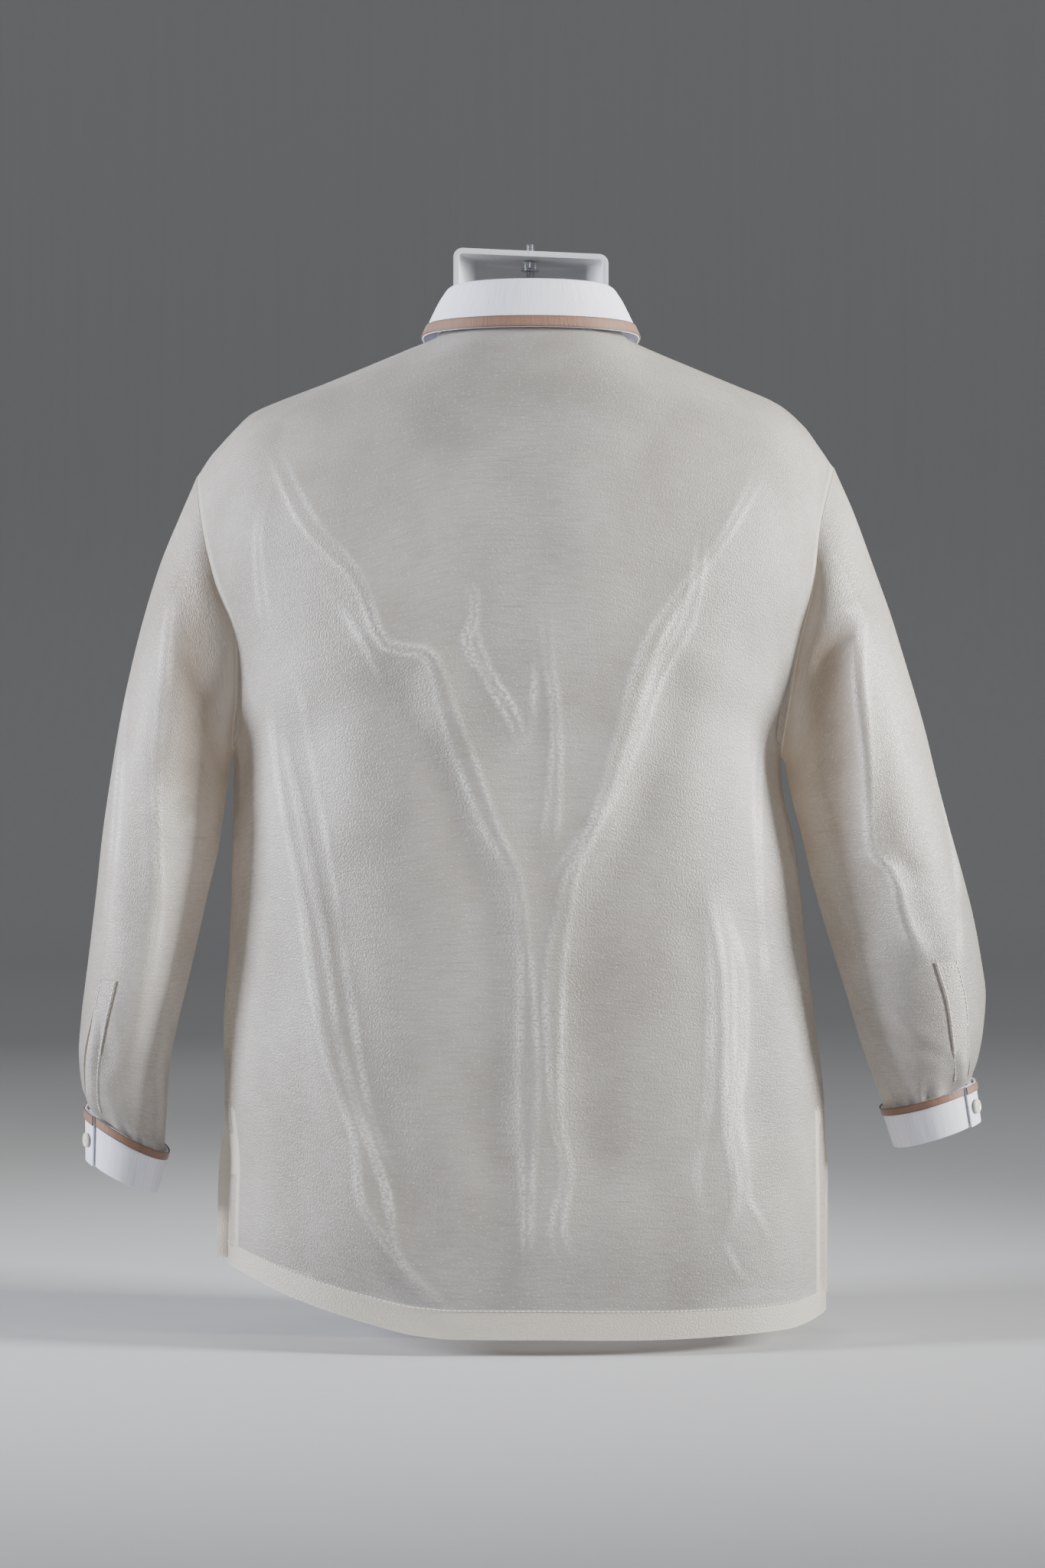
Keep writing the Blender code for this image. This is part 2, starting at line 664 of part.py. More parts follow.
def add_round(name, radius, depth, place, look, collection, axis=UP, sides=ROD_SIDES, edge=0.0):
    """A short round or six-sided piece about an axis."""
    mesh = bpy.data.meshes.new(name)
    solid = bmesh.new()
    bmesh.ops.create_cone(
        solid, cap_ends=True, segments=sides, radius1=radius * MM, radius2=radius * MM, depth=depth * MM
    )
    solid.to_mesh(mesh)
    solid.free()
    piece = add_object(name, mesh, look, collection)
    piece.location = placed(place)
    piece.rotation_mode = "QUATERNION"
    piece.rotation_quaternion = UP.rotation_difference(axis)
    if edge:
        bevel = piece.modifiers.new("Rounded edge", "BEVEL")
        bevel.width = edge * MM
        bevel.segments = 1
    return piece


def cut(piece, cutter, name, operation="DIFFERENCE"):
    """Cuts or joins a piece with another shape, which is left out of the part."""
    cutter.hide_render = True
    cutter.display_type = "WIRE"
    change = piece.modifiers.new(name, "BOOLEAN")
    change.operation = operation
    change.solver = "EXACT"
    change.object = cutter


def bore(piece, radius, place, cutters):
    """A round hole straight down through a piece."""
    drill = add_round(piece.name + "_bore", radius, BORE_LENGTH, place, "steel", cutters, sides=BORE_SIDES)
    cut(piece, drill, "Bore")


def add_button(name, sheet, a, b, collection):
    """A button seated on a sheet, facing out."""
    across = sheet(a + STEP, b) - sheet(a - STEP, b)
    normal = across.cross(sheet(a, b + STEP) - sheet(a, b - STEP)).normalized()
    place = sheet(a, b) + normal * (CLOTH / 2 + SEAM_GAP + BUTTON_EASE + BUTTON_DEPTH / 2)
    size = BUTTON_RADIUS, BUTTON_DEPTH
    add_round(name, *size, place, "button", collection, normal, BUTTON_SIDES, BUTTON_EDGE)


def make_body(shirt):
    add_sheet("back", back_sheet, BACK_COLUMNS, BACK_ROWS, CLOTH, "ivory_cloth", shirt, thick_rows=HEM_ROWS)
    for side in ("left", "right"):
        front = front_sheet(side)
        size = FRONT_COLUMNS, FRONT_ROWS
        add_sheet(f"front_{side}", front, *size, CLOTH, "ivory_cloth", shirt, thick_rows=HEM_ROWS)


def band_sheet(a, b):
    """The front band, on the left front about the middle line; a runs from the wearer's right to left."""
    v = roll_rows(b)
    level, up = roll_lean(v)
    place = body_point((2 * a - 1) * BAND_WIDTH / 2 / FRONT_HALF, v, "front")
    out = layer_at(v)
    return place + Vector((0, -out * level, out * up))


def make_band(shirt):
    add_sheet("front_band", band_sheet, BAND_COLUMNS, FRONT_ROWS, CLOTH, "ivory_cloth", shirt)
    for number, height in enumerate(FRONT_BUTTONS, 1):
        add_button(f"front_button_{number}", band_sheet, 0.5, height, shirt)


def make_collar(shirt):
    stand = collar_sheet((STAND_FOOT, STAND_TOP))
    add_sheet("collar_stand", stand, STAND_COLUMNS, STAND_ROWS, CLOTH, "white_cloth", shirt)
    fall = collar_sheet((FOLD, FALL_UPPER, FALL_MIDDLE, FALL_EDGE))
    add_sheet("collar_fall", fall, COLLAR_COLUMNS, COLLAR_ROWS, CLOTH, "white_cloth", shirt)
    trim = moved_out(fall, CLOTH / 2 + TRIM_CLOTH / 2 + TRIM_GAP)
    trim = part_of(trim, 0, 1, COLLAR_TRIM_FROM, 1)
    add_sheet("collar_trim", trim, COLLAR_COLUMNS, 1, TRIM_CLOTH, "brown_band", shirt)


def make_sleeve(side, shirt):
    rows = SLEEVE_LEFT if side == "left" else SLEEVE_RIGHT
    rings = CUFF_LEFT if side == "left" else CUFF_RIGHT
    sleeve = sleeve_sheet((*rows, tucked(rings, 0), tucked(rings, CUFF_TUCK_SHARE)), side)
    add_sheet(f"sleeve_{side}", sleeve, SLEEVE_COLUMNS, SLEEVE_ROWS, CLOTH, "ivory_cloth", shirt, closed=True)

    def strip(a, b):
        middle = PLACKET_ANGLE_FOOT + b * (PLACKET_ANGLE_HEAD - PLACKET_ANGLE_FOOT)
        turn = middle + (a - 0.5) * PLACKET_TURN
        return sleeve(turn / (2 * math.pi), PLACKET_FOOT + b * (PLACKET_HEAD - PLACKET_FOOT))

    strip = moved_out(strip, SIGN[side] * PLACKET_LAYER[side])
    add_sheet(f"sleeve_placket_{side}", strip, PLACKET_COLUMNS, PLACKET_ROWS, CLOTH, "ivory_cloth", shirt)


def make_cuff(side, shirt):
    rings = CUFF_LEFT if side == "left" else CUFF_RIGHT
    cuff = cuff_sheet(rings, side)
    add_sheet(f"cuff_{side}", cuff, CUFF_COLUMNS, CUFF_ROWS, CUFF_CLOTH, "white_cloth", shirt)
    trim = cuff_sheet(rings, side, CUFF_CLOTH / 2 + TRIM_CLOTH / 2 + TRIM_GAP)
    trim = part_of(trim, CUFF_TRIM_FROM / CUFF_COLUMNS, 1, 0, CUFF_TRIM_SHARE)
    add_sheet(f"cuff_trim_{side}", trim, CUFF_COLUMNS - CUFF_TRIM_FROM, 1, TRIM_CLOTH, "brown_band", shirt)
    facing = cuff if side == "right" else lambda a, b: cuff(1 - a, b)
    at = CUFF_BUTTON_AT if side == "right" else 1 - CUFF_BUTTON_AT
    add_button(f"cuff_button_{side}", facing, at, CUFF_BUTTON_DROP, shirt)


def make_form(shirt, cutters):
    shell = add_sheet("torso_form", form_sheet, FORM_COLUMNS, FORM_ROWS, FORM_WALL, "form_plastic", shirt)
    cap = bpy.data.meshes.new("cap")
    plate = bmesh.new()
    corners = []
    for i in range(FORM_COLUMNS + 1):
        rim = form_sheet(i / FORM_COLUMNS, 1.0)
        rim.z = CAP_TOP - FORM_WALL + CAP_TILT * (rim.x - NECK_X)
        corners.append(plate.verts.new(placed(rim)))
    face = plate.faces.new(corners)
    raised = bmesh.ops.extrude_face_region(plate, geom=[face])["geom"]
    for corner in (item for item in raised if isinstance(item, bmesh.types.BMVert)):
        corner.co.z += FORM_WALL * MM
    bmesh.ops.recalc_face_normals(plate, faces=plate.faces)
    plate.to_mesh(cap)
    plate.free()
    lid = add_object("form_cap", cap, "form_plastic", cutters)
    cut(shell, lid, "Cap", "UNION")
    bore(shell, ROD_RADIUS + FIT, Vector((ROD_X, ROD_Y, CAP_TOP)), cutters)
    floor = bpy.data.meshes.new("floor")
    block = bmesh.new()
    bmesh.ops.create_cube(block, size=1)
    block.to_mesh(floor)
    block.free()
    below = add_object("floor_cut", floor, "steel", cutters)
    below.scale = (FLOOR_SPAN, FLOOR_SPAN, FLOOR_DEPTH)
    below.location = (0, 0, -FLOOR_DEPTH / 2)
    cut(shell, below, "Flat base")


def make_hardware(shirt, cutters):
    middle = (ROD_TOP + ROD_FOOT) / 2
    add_round("rod", ROD_RADIUS, ROD_TOP - ROD_FOOT, Vector((ROD_X, ROD_Y, middle)), "steel", shirt)
    seat = CAP_TOP - FORM_WALL - FIT + CAP_TILT * ROD_X - TILT_EASE
    nut_place = Vector((ROD_X, ROD_Y, seat - NUT_DEPTH / 2))
    nut = add_round("nut", NUT_ACROSS / math.sqrt(3), NUT_DEPTH, nut_place, "steel", shirt, sides=6)
    washer_place = Vector((ROD_X, ROD_Y, seat - NUT_DEPTH - FIT - WASHER_DEPTH / 2))
    bore(nut, ROD_RADIUS + FIT, nut_place, cutters)
    ring = WASHER_RADIUS, WASHER_DEPTH, washer_place
    washer = add_round("washer", *ring, "steel", shirt, sides=WASHER_SIDES)
    bore(washer, ROD_RADIUS + FIT, washer_place, cutters)


def main():
    for piece in list(bpy.data.objects):
        bpy.data.objects.remove(piece, do_unlink=True)
    shirt = bpy.data.collections.new("Barong on torso form")
    cutters = bpy.data.collections.new("Cutters")
    for collection in (shirt, cutters):
        bpy.context.scene.collection.children.link(collection)
    make_body(shirt)
    make_band(shirt)
    make_collar(shirt)
    for side in ("left", "right"):
        make_sleeve(side, shirt)
        make_cuff(side, shirt)
    make_form(shirt, cutters)
    make_hardware(shirt, cutters)


main()
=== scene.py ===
"""A barong tagalog of sheer ivory jusi, worn on a hollow-back torso form.

Lengths in the tables are in millimetres, with z = 0 on the floor, the shirt's front towards -Y and the
wearer's left towards +X. Each cloth is a thin sheet of points that are worked out from the body's sections,
the folds and the seams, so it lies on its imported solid. Tables for the right side give distances as positive
numbers.
"""

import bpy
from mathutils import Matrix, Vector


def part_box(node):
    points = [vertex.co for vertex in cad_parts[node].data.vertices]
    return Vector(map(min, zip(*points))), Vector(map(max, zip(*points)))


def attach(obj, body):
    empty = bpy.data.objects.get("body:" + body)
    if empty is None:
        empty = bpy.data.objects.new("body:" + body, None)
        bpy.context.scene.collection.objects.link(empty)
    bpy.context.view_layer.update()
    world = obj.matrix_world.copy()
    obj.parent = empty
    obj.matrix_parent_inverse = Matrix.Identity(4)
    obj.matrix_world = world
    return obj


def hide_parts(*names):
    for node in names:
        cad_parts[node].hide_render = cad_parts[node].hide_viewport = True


bl_info = {
    "name": "Barong tagalog on a torso form",
    "version": (1, 0, 0),
    "blender": (4, 5, 0),
    "location": "3D View > Sidebar > Barong",
    "description": "Dresses a hollow-back torso form in a sheer long-sleeved shirt",
    "category": "Object",
}

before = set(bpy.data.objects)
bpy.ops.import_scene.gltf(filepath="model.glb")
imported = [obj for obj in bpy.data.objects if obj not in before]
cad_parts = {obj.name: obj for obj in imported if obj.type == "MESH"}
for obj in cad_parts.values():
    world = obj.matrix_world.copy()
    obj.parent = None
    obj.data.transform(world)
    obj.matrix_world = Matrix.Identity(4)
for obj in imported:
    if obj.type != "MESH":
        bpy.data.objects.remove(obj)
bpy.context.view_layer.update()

import math
from collections import namedtuple

import bmesh
import bpy
import numpy as np
from bpy.props import FloatProperty, FloatVectorProperty, IntProperty, PointerProperty
from mathutils import Matrix, Vector

MM = 0.001

# Where the middle of the tables' frame lies in the part's own frame
MIDDLE = np.array((3.0, 6.9, 0.0))

# Cloth and seams, as in the solids
SEAM_GAP = 0.3
LAYER = 2.25
ARMPIT = 437.0
VENT_TOP = 172.0
VENT_STEP_BACK = {"left": 9.0, "right": 2.0}
VENT_OPEN = 7.0
VENT_TAPER = 40.0
VENT_HEM = 11.0
HEM_CORNER = 40.0
ROLL_START = 0.80
ROLL_ROWS_FROM = 0.66
SHOULDER_SEAM_Y = 2.0
SHOULDER_GAP = 0.3
ARMHOLE_DEPTH = 50.0
ARMHOLE_GAP = 0.4
SECTION_POWER = 2.3
SIDE_ROUNDNESS = 0.5
ARMHOLE_ROUNDNESS = 0.8
ARMHOLE_ROUNDS_BY = 4.0
TIP = {"left": 640.0, "right": 650.0}
SIGN = {"left": 1, "right": -1}

# Side edges of the body from hem to shoulder tip
Edge = namedtuple("Edge", "height left right")
EDGES = (
    Edge(20, 234, 225),
    Edge(110, 233, 225),
    Edge(180, 228, 222),
    Edge(230, 229, 216),
    Edge(300, 224, 208),
    Edge(370, 222, 200),
    Edge(410, 221, 191),
    Edge(437, 221, 189),
    Edge(475, 216, 193),
    Edge(513, 215, 199),
    Edge(560, 231, 210),
    Edge(600, 241, 215),
    Edge(655, 250, 230),
)

# Depth of the body in front of and behind the side seams
Depth = namedtuple("Depth", "height back front")
DEPTHS = (
    Depth(10, 102, 106),
    Depth(150, 97, 107),
    Depth(300, 93, 110),
    Depth(430, 95, 117),
    Depth(520, 98, 116),
    Depth(620, 92, 104),
    Depth(760, 78, 84),
)

# The upper edge: neckline, then shoulder seam out to the shoulder tip
Top = namedtuple("Top", "out left right")
BACK_TOP = (
    Top(0, 750, 750),
    Top(45, 749, 749),
    Top(72, 745, 745),
    Top(109, 731, 731),
    Top(150, 714, 714),
    Top(187, 700, 698),
    Top(207, 691, 681),
    Top(220, 679, 663),
    Top(229, 669, 650),
    Top(238, 659, 640),
    Top(250, 640, 630),
)

# The hem's height across the back and the front
Hem = namedtuple("Hem", "x back front")
HEMS = (
    Hem(-225, 22, 30),
    Hem(-190, 14, 24),
    Hem(-90, 12, 20),
    Hem(0, 13, 18),
    Hem(50, 13, 19),
    Hem(80, 15, 21),
    Hem(116, 23, 25),
    Hem(170, 38, 34),
    Hem(215, 54, 52),
    Hem(234, 58, 57),
)

# The neck opening from above, and the rings of the collar about it
Ring = namedtuple("Ring", "half_width back front height_back height_front late_drop")
NECK_X = -2.0
NECK_Y = 4.0
NECK_SEAM = Ring(72, 44, 60, 750, 692, 3.2)
STAND_FOOT = Ring(70.2, 42.6, 58.4, 752.6, 695, 3.2)
STAND_TOP = Ring(60.3, 44, 52, 782, 742, 3.2)
FOLD_INSIDE = Ring(60.2, 44.2, 52.2, 778, 738, 3.2)
FOLD_CREST = Ring(60.9, 44.9, 52.9, 784.2, 744.2, 3.2)
FOLD = Ring(62.0, 45.9, 53.9, 784.4, 744.4, 3.2)
FALL_UPPER = Ring(67, 49, 59, 778, 735, 3.6)
FALL_MIDDLE = Ring(73.5, 52, 67, 765, 716, 4.4)
FALL_EDGE = Ring(81, 55.5, 78, 748, 692, 5.2)
COLLAR_OPENING = 12.0
FOLD_OPENING_SHARE = 0.35
COLLAR_TRIM_FROM = 0.84

# Soft ridges (height above 0) and troughs, each along a path of x and z
Fold = namedtuple("Fold", "height width path")
LEFT_STRAND = (
    (190, 664), (160, 603), (124, 562), (101, 512), (74, 508), (55, 457), (27, 382), (8, 340),
    (2, 288), (0, 205),
    (1, 90), (0, 60),
)
RIGHT_STRAND = (
    (-172, 645), (-142, 592), (-114, 556), (-86, 508), (-70, 457), (-50, 391), (-28, 336),
    (-18, 262), (-19, 177),
    (-27, 134), (-20, 90), (-30, 64),
)
RIGHT_STRAND_INNER = ((-128, 604), (-116, 534), (-95, 494), (-78, 444), (-56, 398), (-30, 358), (-16, 334))
MIDDLE_STRAND = ((-12, 545), (-14, 500), (-19, 472), (-20, 440), (-16, 380), (-12, 350))
MIDDLE_LEFT_STRAND = ((42, 560), (40, 520), (32, 496), (10, 458), (2, 424))
LEFT_SIDE_OUTER = (
    (192, 484), (182, 404), (166, 329), (158, 270), (147, 214), (134, 178), (125, 150), (123, 116),
    (104, 84),
    (86, 58),
)
LEFT_SIDE_INNER = (
    (182, 460), (160, 360), (148, 298), (140, 240), (122, 170), (108, 134), (100, 104), (98, 80),
    (72, 48), (50, 32),
)
RIGHT_SIDE_INNER = (
    (-130, 343), (-142, 270), (-143, 216), (-143, 174), (-146, 150), (-151, 108), (-148, 94), (-135, 78),
)
RIGHT_SIDE_MIDDLE = (
    (-138, 336), (-150, 268), (-150, 216), (-148, 176), (-152, 148), (-155, 112), (-160, 92),
)
RIGHT_SIDE_OUTER = (
    (-142, 330), (-158, 262), (-157, 216), (-153, 180), (-158, 140), (-160, 112), (-171, 92), (-182, 70),
)
BACK_FOLDS = (
    Fold(6.5, 15, LEFT_STRAND),
    Fold(-7.0, 21, ((120, 520), (84, 470), (52, 400), (30, 330), (22, 240), (24, 120))),
    Fold(7.0, 15, RIGHT_STRAND),
    Fold(-7.0, 21, ((-116, 512), (-98, 452), (-76, 390), (-54, 330), (-44, 250), (-46, 120))),
    Fold(3.5, 12, MIDDLE_STRAND),
    Fold(-7.0, 40, ((2, 600), (0, 520), (-8, 440), (-8, 390))),
    Fold(8.0, 15, LEFT_SIDE_OUTER),
    Fold(-7.0, 20, ((168, 470), (152, 380), (134, 290), (108, 190), (90, 130), (66, 84))),
    Fold(7.5, 14, RIGHT_SIDE_INNER),
    Fold(-7.5, 19, ((-160, 330), (-168, 220), (-178, 150), (-190, 96))),
    Fold(5.0, 34, ((-176, 470), (-180, 400), (-182, 320))),
    Fold(-3.0, 26, ((-92, 300), (-92, 200), (-96, 60))),
    Fold(-3.5, 22, ((-40, 716), (0, 700), (40, 708))),
    Fold(2.5, 16, ((-80, 690), (-30, 672), (30, 676), (84, 700))),
    Fold(-2.5, 12, ((110, 690), (96, 664), (74, 640))),
    Fold(-2.5, 12, ((-104, 690), (-92, 660), (-70, 636))),
    Fold(3.0, 15, ((196, 700), (206, 660), (202, 616), (194, 560))),
)
FRONT_FOLDS = (
    Fold(7.0, 17, ((150, 520), (138, 420), (128, 300), (124, 180), (130, 40))),
    Fold(-5.0, 19, ((96, 470), (84, 340), (82, 200), (86, 60))),
    Fold(5.0, 15, ((52, 400), (48, 260), (52, 60))),
    Fold(7.5, 17, ((-140, 500), (-128, 380), (-132, 240), (-126, 40))),
    Fold(-5.5, 20, ((-92, 450), (-84, 320), (-90, 160), (-84, 40))),
    Fold(5.5, 15, ((-54, 360), (-56, 210), (-50, 40))),
    Fold(-5.0, 22, ((176, 470), (172, 330), (176, 200))),
    Fold(-5.0, 22, ((-166, 460), (-164, 330), (-170, 190))),
    Fold(3.0, 12, ((168, 600), (140, 560), (100, 540))),
    Fold(3.0, 12, ((-164, 606), (-132, 568), (-96, 552))),
)

# Sharp pinched lines on the folds' crests, each seen as two thin painted glints
Crease = namedtuple("Crease", "height gap width path")
BACK_CREASES = (
    Crease(1.5, 9, 1.9, LEFT_STRAND),
    Crease(1.6, 9, 1.9, RIGHT_STRAND),
    Crease(1.3, 7, 1.8, RIGHT_STRAND_INNER),
    Crease(1.2, 8, 1.8, MIDDLE_STRAND),
    Crease(0.9, 6, 1.8, MIDDLE_LEFT_STRAND),
    Crease(1.5, 3, 1.9, LEFT_SIDE_OUTER),
    Crease(1.4, 3, 1.9, LEFT_SIDE_INNER),
    Crease(1.6, 3, 1.9, RIGHT_SIDE_INNER),
    Crease(1.6, 3, 1.9, RIGHT_SIDE_OUTER),
    Crease(1.3, 2, 1.8, RIGHT_SIDE_MIDDLE),
    Crease(0.8, 5, 1.9, ((186, 640), (198, 596), (196, 560), (190, 520))),
    Crease(1.0, 2, 1.8, ((150, 560), (120, 516), (104, 480))),
    Crease(0.9, 2, 1.8, ((-134, 92), (-146, 74), (-152, 60), (-168, 46))),
    Crease(0.6, 4, 1.8, ((48, 565), (37, 542), (46, 513), (29, 490), (14, 473), (-6, 450))),
    Crease(0.6, 3, 1.8, ((-6, 519), (-4, 481), (-2, 450), (9, 435), (22, 452))),
    Crease(0.6, 2, 1.8, ((170, 500), (152, 400), (138, 320), (128, 250), (116, 180), (96, 128))),
    Crease(0.6, 3, 1.8, ((-128, 330), (-132, 250), (-130, 180), (-122, 130), (-128, 96))),
    Crease(0.5, 4, 1.8, ((-172, 470), (-168, 400), (-170, 330), (-176, 250))),
)
FRONT_CREASES = (
    Crease(1.2, 8, 2.2, FRONT_FOLDS[0].path),
    Crease(1.2, 8, 2.2, FRONT_FOLDS[3].path),
    Crease(0.9, 6, 2.2, FRONT_FOLDS[2].path),
    Crease(0.9, 6, 2.2, FRONT_FOLDS[5].path),
)

# Where only shade lies behind the sheer cloth: how much shows, how wide, and along which path of x and z
SHADES = (
    Fold(0.75, 52, ((-84, 716), (-30, 690), (30, 688), (84, 714))),
    Fold(0.55, 44, ((0, 660), (4, 600), (16, 540), (14, 480), (4, 430))),
    Fold(0.75, 24, ((-170, 340), (-180, 283), (-178, 220), (-172, 150))),
    Fold(0.30, 20, ((30, 330), (34, 240), (36, 150))),
    Fold(0.30, 24, ((-62, 300), (-70, 200), (-72, 110))),
    Fold(0.9, 5, ((108, 66), (84, 40), (62, 22), (40, 8), (24, 2))),
)
SHADE_FROM = 125.0
SHADE_OVER = 80.0
HEM_SHADE = 0.55
SEAM_MARK = 0.6
SEAM_MARK_FROM = 0.93
SLEEVE_SHADE = {"left": 310.0, "right": 460.0}

# Sleeves: the outer and inner edges seen from behind, and the depth behind and in front of that line
Sleeve = namedtuple("Sleeve", "outer_x outer_z inner_x inner_z back front")
SLEEVES = {
    "left": (
        Sleeve(251, 639, 222.5, 436, 50, 50),
        Sleeve(262, 612, 223.5, 432, 57, 55),
        Sleeve(276, 577, 224.5, 427, 61, 60),
        Sleeve(287, 541, 225.5, 420, 63, 62),
        Sleeve(297, 500, 226.5, 411, 64, 63),
        Sleeve(306, 456, 228, 400, 64, 63),
        Sleeve(313, 414, 230, 384, 63, 62),
        Sleeve(319, 374, 233, 362, 61, 61),
        Sleeve(323, 338, 240, 332, 60, 60),
        Sleeve(327, 304, 248, 298, 59, 59),
        Sleeve(331, 270, 256, 264, 57, 57),
        Sleeve(335, 238, 264, 230, 53, 53),
        Sleeve(337, 212, 270, 197, 49, 49),
        Sleeve(335, 188, 272, 163, 45, 45),
    ),
    "right": (
        Sleeve(231, 649, 191, 436, 50, 50),
        Sleeve(243, 620, 192.3, 432, 57, 55),
        Sleeve(258, 577, 193.2, 427, 61, 60),
        Sleeve(271, 541, 194, 420, 63, 62),
        Sleeve(284, 498, 196, 411, 64, 63),
        Sleeve(296, 456, 198, 401, 64, 63),
        Sleeve(306, 416, 202, 387, 63, 62),
        Sleeve(316, 380, 207, 368, 61, 61),
        Sleeve(325, 348, 214, 340, 60, 60),
        Sleeve(333, 315, 223, 308, 59, 59),
        Sleeve(339, 284, 232, 277, 57, 57),
        Sleeve(343, 255, 241, 248, 54, 54),
        Sleeve(341, 229, 249, 222, 50, 50),
        Sleeve(337, 207, 258, 196, 45, 45),
    ),
}
SLEEVE_FOLDS = {
    "left": (
        Fold(-13.0, 17, ((252, 590), (246, 520), (246, 450), (252, 380))),
        Fold(7.0, 11, ((272, 420), (270, 340), (280, 260), (290, 200))),
        Fold(6.0, 12, ((306, 560), (300, 470), (304, 380), (312, 300))),
        Fold(-5.0, 8, ((240, 398), (256, 392), (272, 384))),
        Fold(3.5, 6, ((238, 412), (254, 404), (270, 398))),
        Fold(-3.0, 8, ((318, 250), (308, 214), (300, 190))),
        Fold(3.0, 7, ((296, 222), (306, 196), (318, 184))),
        Fold(2.5, 6, ((280, 214), (290, 190), (296, 176))),
    ),
    "right": (
        Fold(-17.0, 21, ((216, 530), (222, 470), (226, 400), (238, 330), (246, 280))),
        Fold(8.0, 9, ((246, 545), (242, 500), (247, 430), (250, 366), (268, 346), (274, 316), (292, 280))),
        Fold(-6.0, 9, ((256, 360), (272, 352), (290, 346))),
        Fold(6.0, 13, ((300, 520), (308, 430), (318, 340), (318, 260))),
        Fold(4.0, 8, ((206, 528), (220, 538), (242, 542), (256, 530))),
        Fold(3.5, 7, ((256, 256), (278, 232), (300, 224))),
        Fold(-3.0, 6, ((262, 240), (282, 218), (304, 212))),
        Fold(2.5, 6, ((270, 222), (288, 210), (306, 204))),
    ),
}
SLEEVE_CREASES = {
    "left": (
        Crease(0.8, 5, 2.2, ((262, 560), (268, 470), (272, 420), (270, 340), (280, 260))),
        Crease(0.6, 4, 2.2, ((306, 560), (300, 470), (304, 380), (312, 300))),
    ),
    "right": (
        Crease(
            1.4, 6, 2.0,
            ((246, 545), (242, 500), (247, 430), (250, 366), (268, 346), (274, 316), (292, 280)),
        ),
        Crease(0.7, 4, 2.2, ((206, 528), (220, 538), (242, 542), (256, 530))),
        Crease(0.7, 3, 2.2, ((300, 520), (308, 430), (318, 340), (318, 260))),
    ),
}
ARMHOLE_BLEND_BY = 7.0
FOLDS_START_BY = 6.0
FOLDS_END_BY = 8.0

# The slit above each cuff: its turn from the outer edge towards the back, and where it starts on the sleeve
Slit = namedtuple("Slit", "turn_foot turn_head start open lift")
SLITS = {"left": Slit(0.74, 0.98, 0.66, 4.5, 5.0), "right": Slit(0.76, 0.98, 0.80, 4.0, 4.0)}
PLACKET_FOOT = 0.90
PLACKET_HEAD = 0.665
PLACKET_LAYER = 0.9
PLACKET_ANGLE_FOOT = 0.94
PLACKET_ANGLE_HEAD = 1.16
PLACKET_TURN = 0.36

# Cuffs: the upper and lower rings, and where each opens
CUFFS = {
    "left": (Sleeve(330.5, 173, 271, 137, 40.5, 40.5), Sleeve(330, 134, 279, 107, 38, 38)),
    "right": (Sleeve(334, 192, 265.5, 170, 40.5, 40.5), Sleeve(338, 162, 275, 141, 38, 38)),
}
CUFF_CLOTH = 1.6
CUFF_TUCK = 2.2
CUFF_TUCK_SHARE = 0.16
CUFF_OPENS = 0.50
CUFF_OVERLAP = 0.36
CUFF_LIFT_TURN = 0.40
CUFF_TRIM_SHARE = 0.19
CUFF_BUTTON_AT = 0.965
CUFF_BUTTON_DROP = 0.55

# The front's band and overlap
BAND_WIDTH = 34.0
OVERLAP = 15.0
FRONT_HALF = 215.0
FRONT_BUTTONS = (0.14, 0.30, 0.46, 0.62, 0.78, 0.93)

# The torso form: a moulded shell with an open back
Form = namedtuple("Form", "height half_width front back power")
FORM_WALL = 4.0
FORM_FOOT = 2.0
FORM = (
    Form(-8, 20, 60, 20, 2.3),
    Form(0, 48, 68, 20, 2.3),
    Form(7, 80, 76, 20, 2.4),
    Form(15, 106, 82, 20, 2.5),
    Form(25, 130, 86, 20, 2.5),
    Form(38, 150, 88, 20, 2.5),
    Form(56, 163, 88.5, 20, 2.5),
    Form(90, 168, 90.5, 20, 2.5),
    Form(170, 166, 92.5, 20, 2.5),
    Form(270, 166, 94.5, 20, 2.5),
    Form(380, 172, 99.5, 20, 2.5),
    Form(480, 178, 100.5, 20, 2.5),
    Form(560, 184, 93.5, 20, 2.4),
    Form(620, 188, 81.5, 20, 2.3),
    Form(655, 187, 69.5, 20, 2.2),
    Form(684, 184, 54, 19, 1.9),
    Form(699.8, 168, 44, 18, 1.7),
    Form(709.8, 146, 37, 17, 1.55),
    Form(724.2, 112, 31, 14, 1.5),
    Form(735.4, 82, 29, 12, 1.6),
    Form(742.6, 64, 33, 10, 1.8),
    Form(750, 59, 39, 8, 2.0),
    Form(758, 57, 42, 8, 2.1),
    Form(780, 56, 42, 8, 2.3),
    Form(809, 56, 42, 8, 2.3),
)
CAP_TOP = 812.0
CAP_ROUND = 5.0
CAP_TILT = 0.045
CAP_TILT_FROM = 760.0
NECK_SHIFT_FROM = 700.0
NECK_SHIFT_OVER = 40.0

# The threaded rod through the cap
THREAD_PITCH = 1.0
THREAD_DEPTH = 0.45
THREAD_END = 0.7
NUT_CHAMFER = 0.7
HOLE = 3.3


def linear(code):
    """A colour as Blender's nodes take it, from its sRGB hex code."""
    shares = [int(code[i:i + 2], 16) / 255 for i in (0, 2, 4)]
    return [s / 12.92 if s <= 0.04045 else ((s + 0.055) / 1.055) ** 2.4 for s in shares]


def size_setting(name, description, default, low, high):
    return FloatProperty(
        name=name, description=description, default=default, min=low, max=high, unit="LENGTH"
    )


def share_setting(name, description, default):
    return FloatProperty(name=name, description=description, default=default, min=0, max=2, subtype="FACTOR")


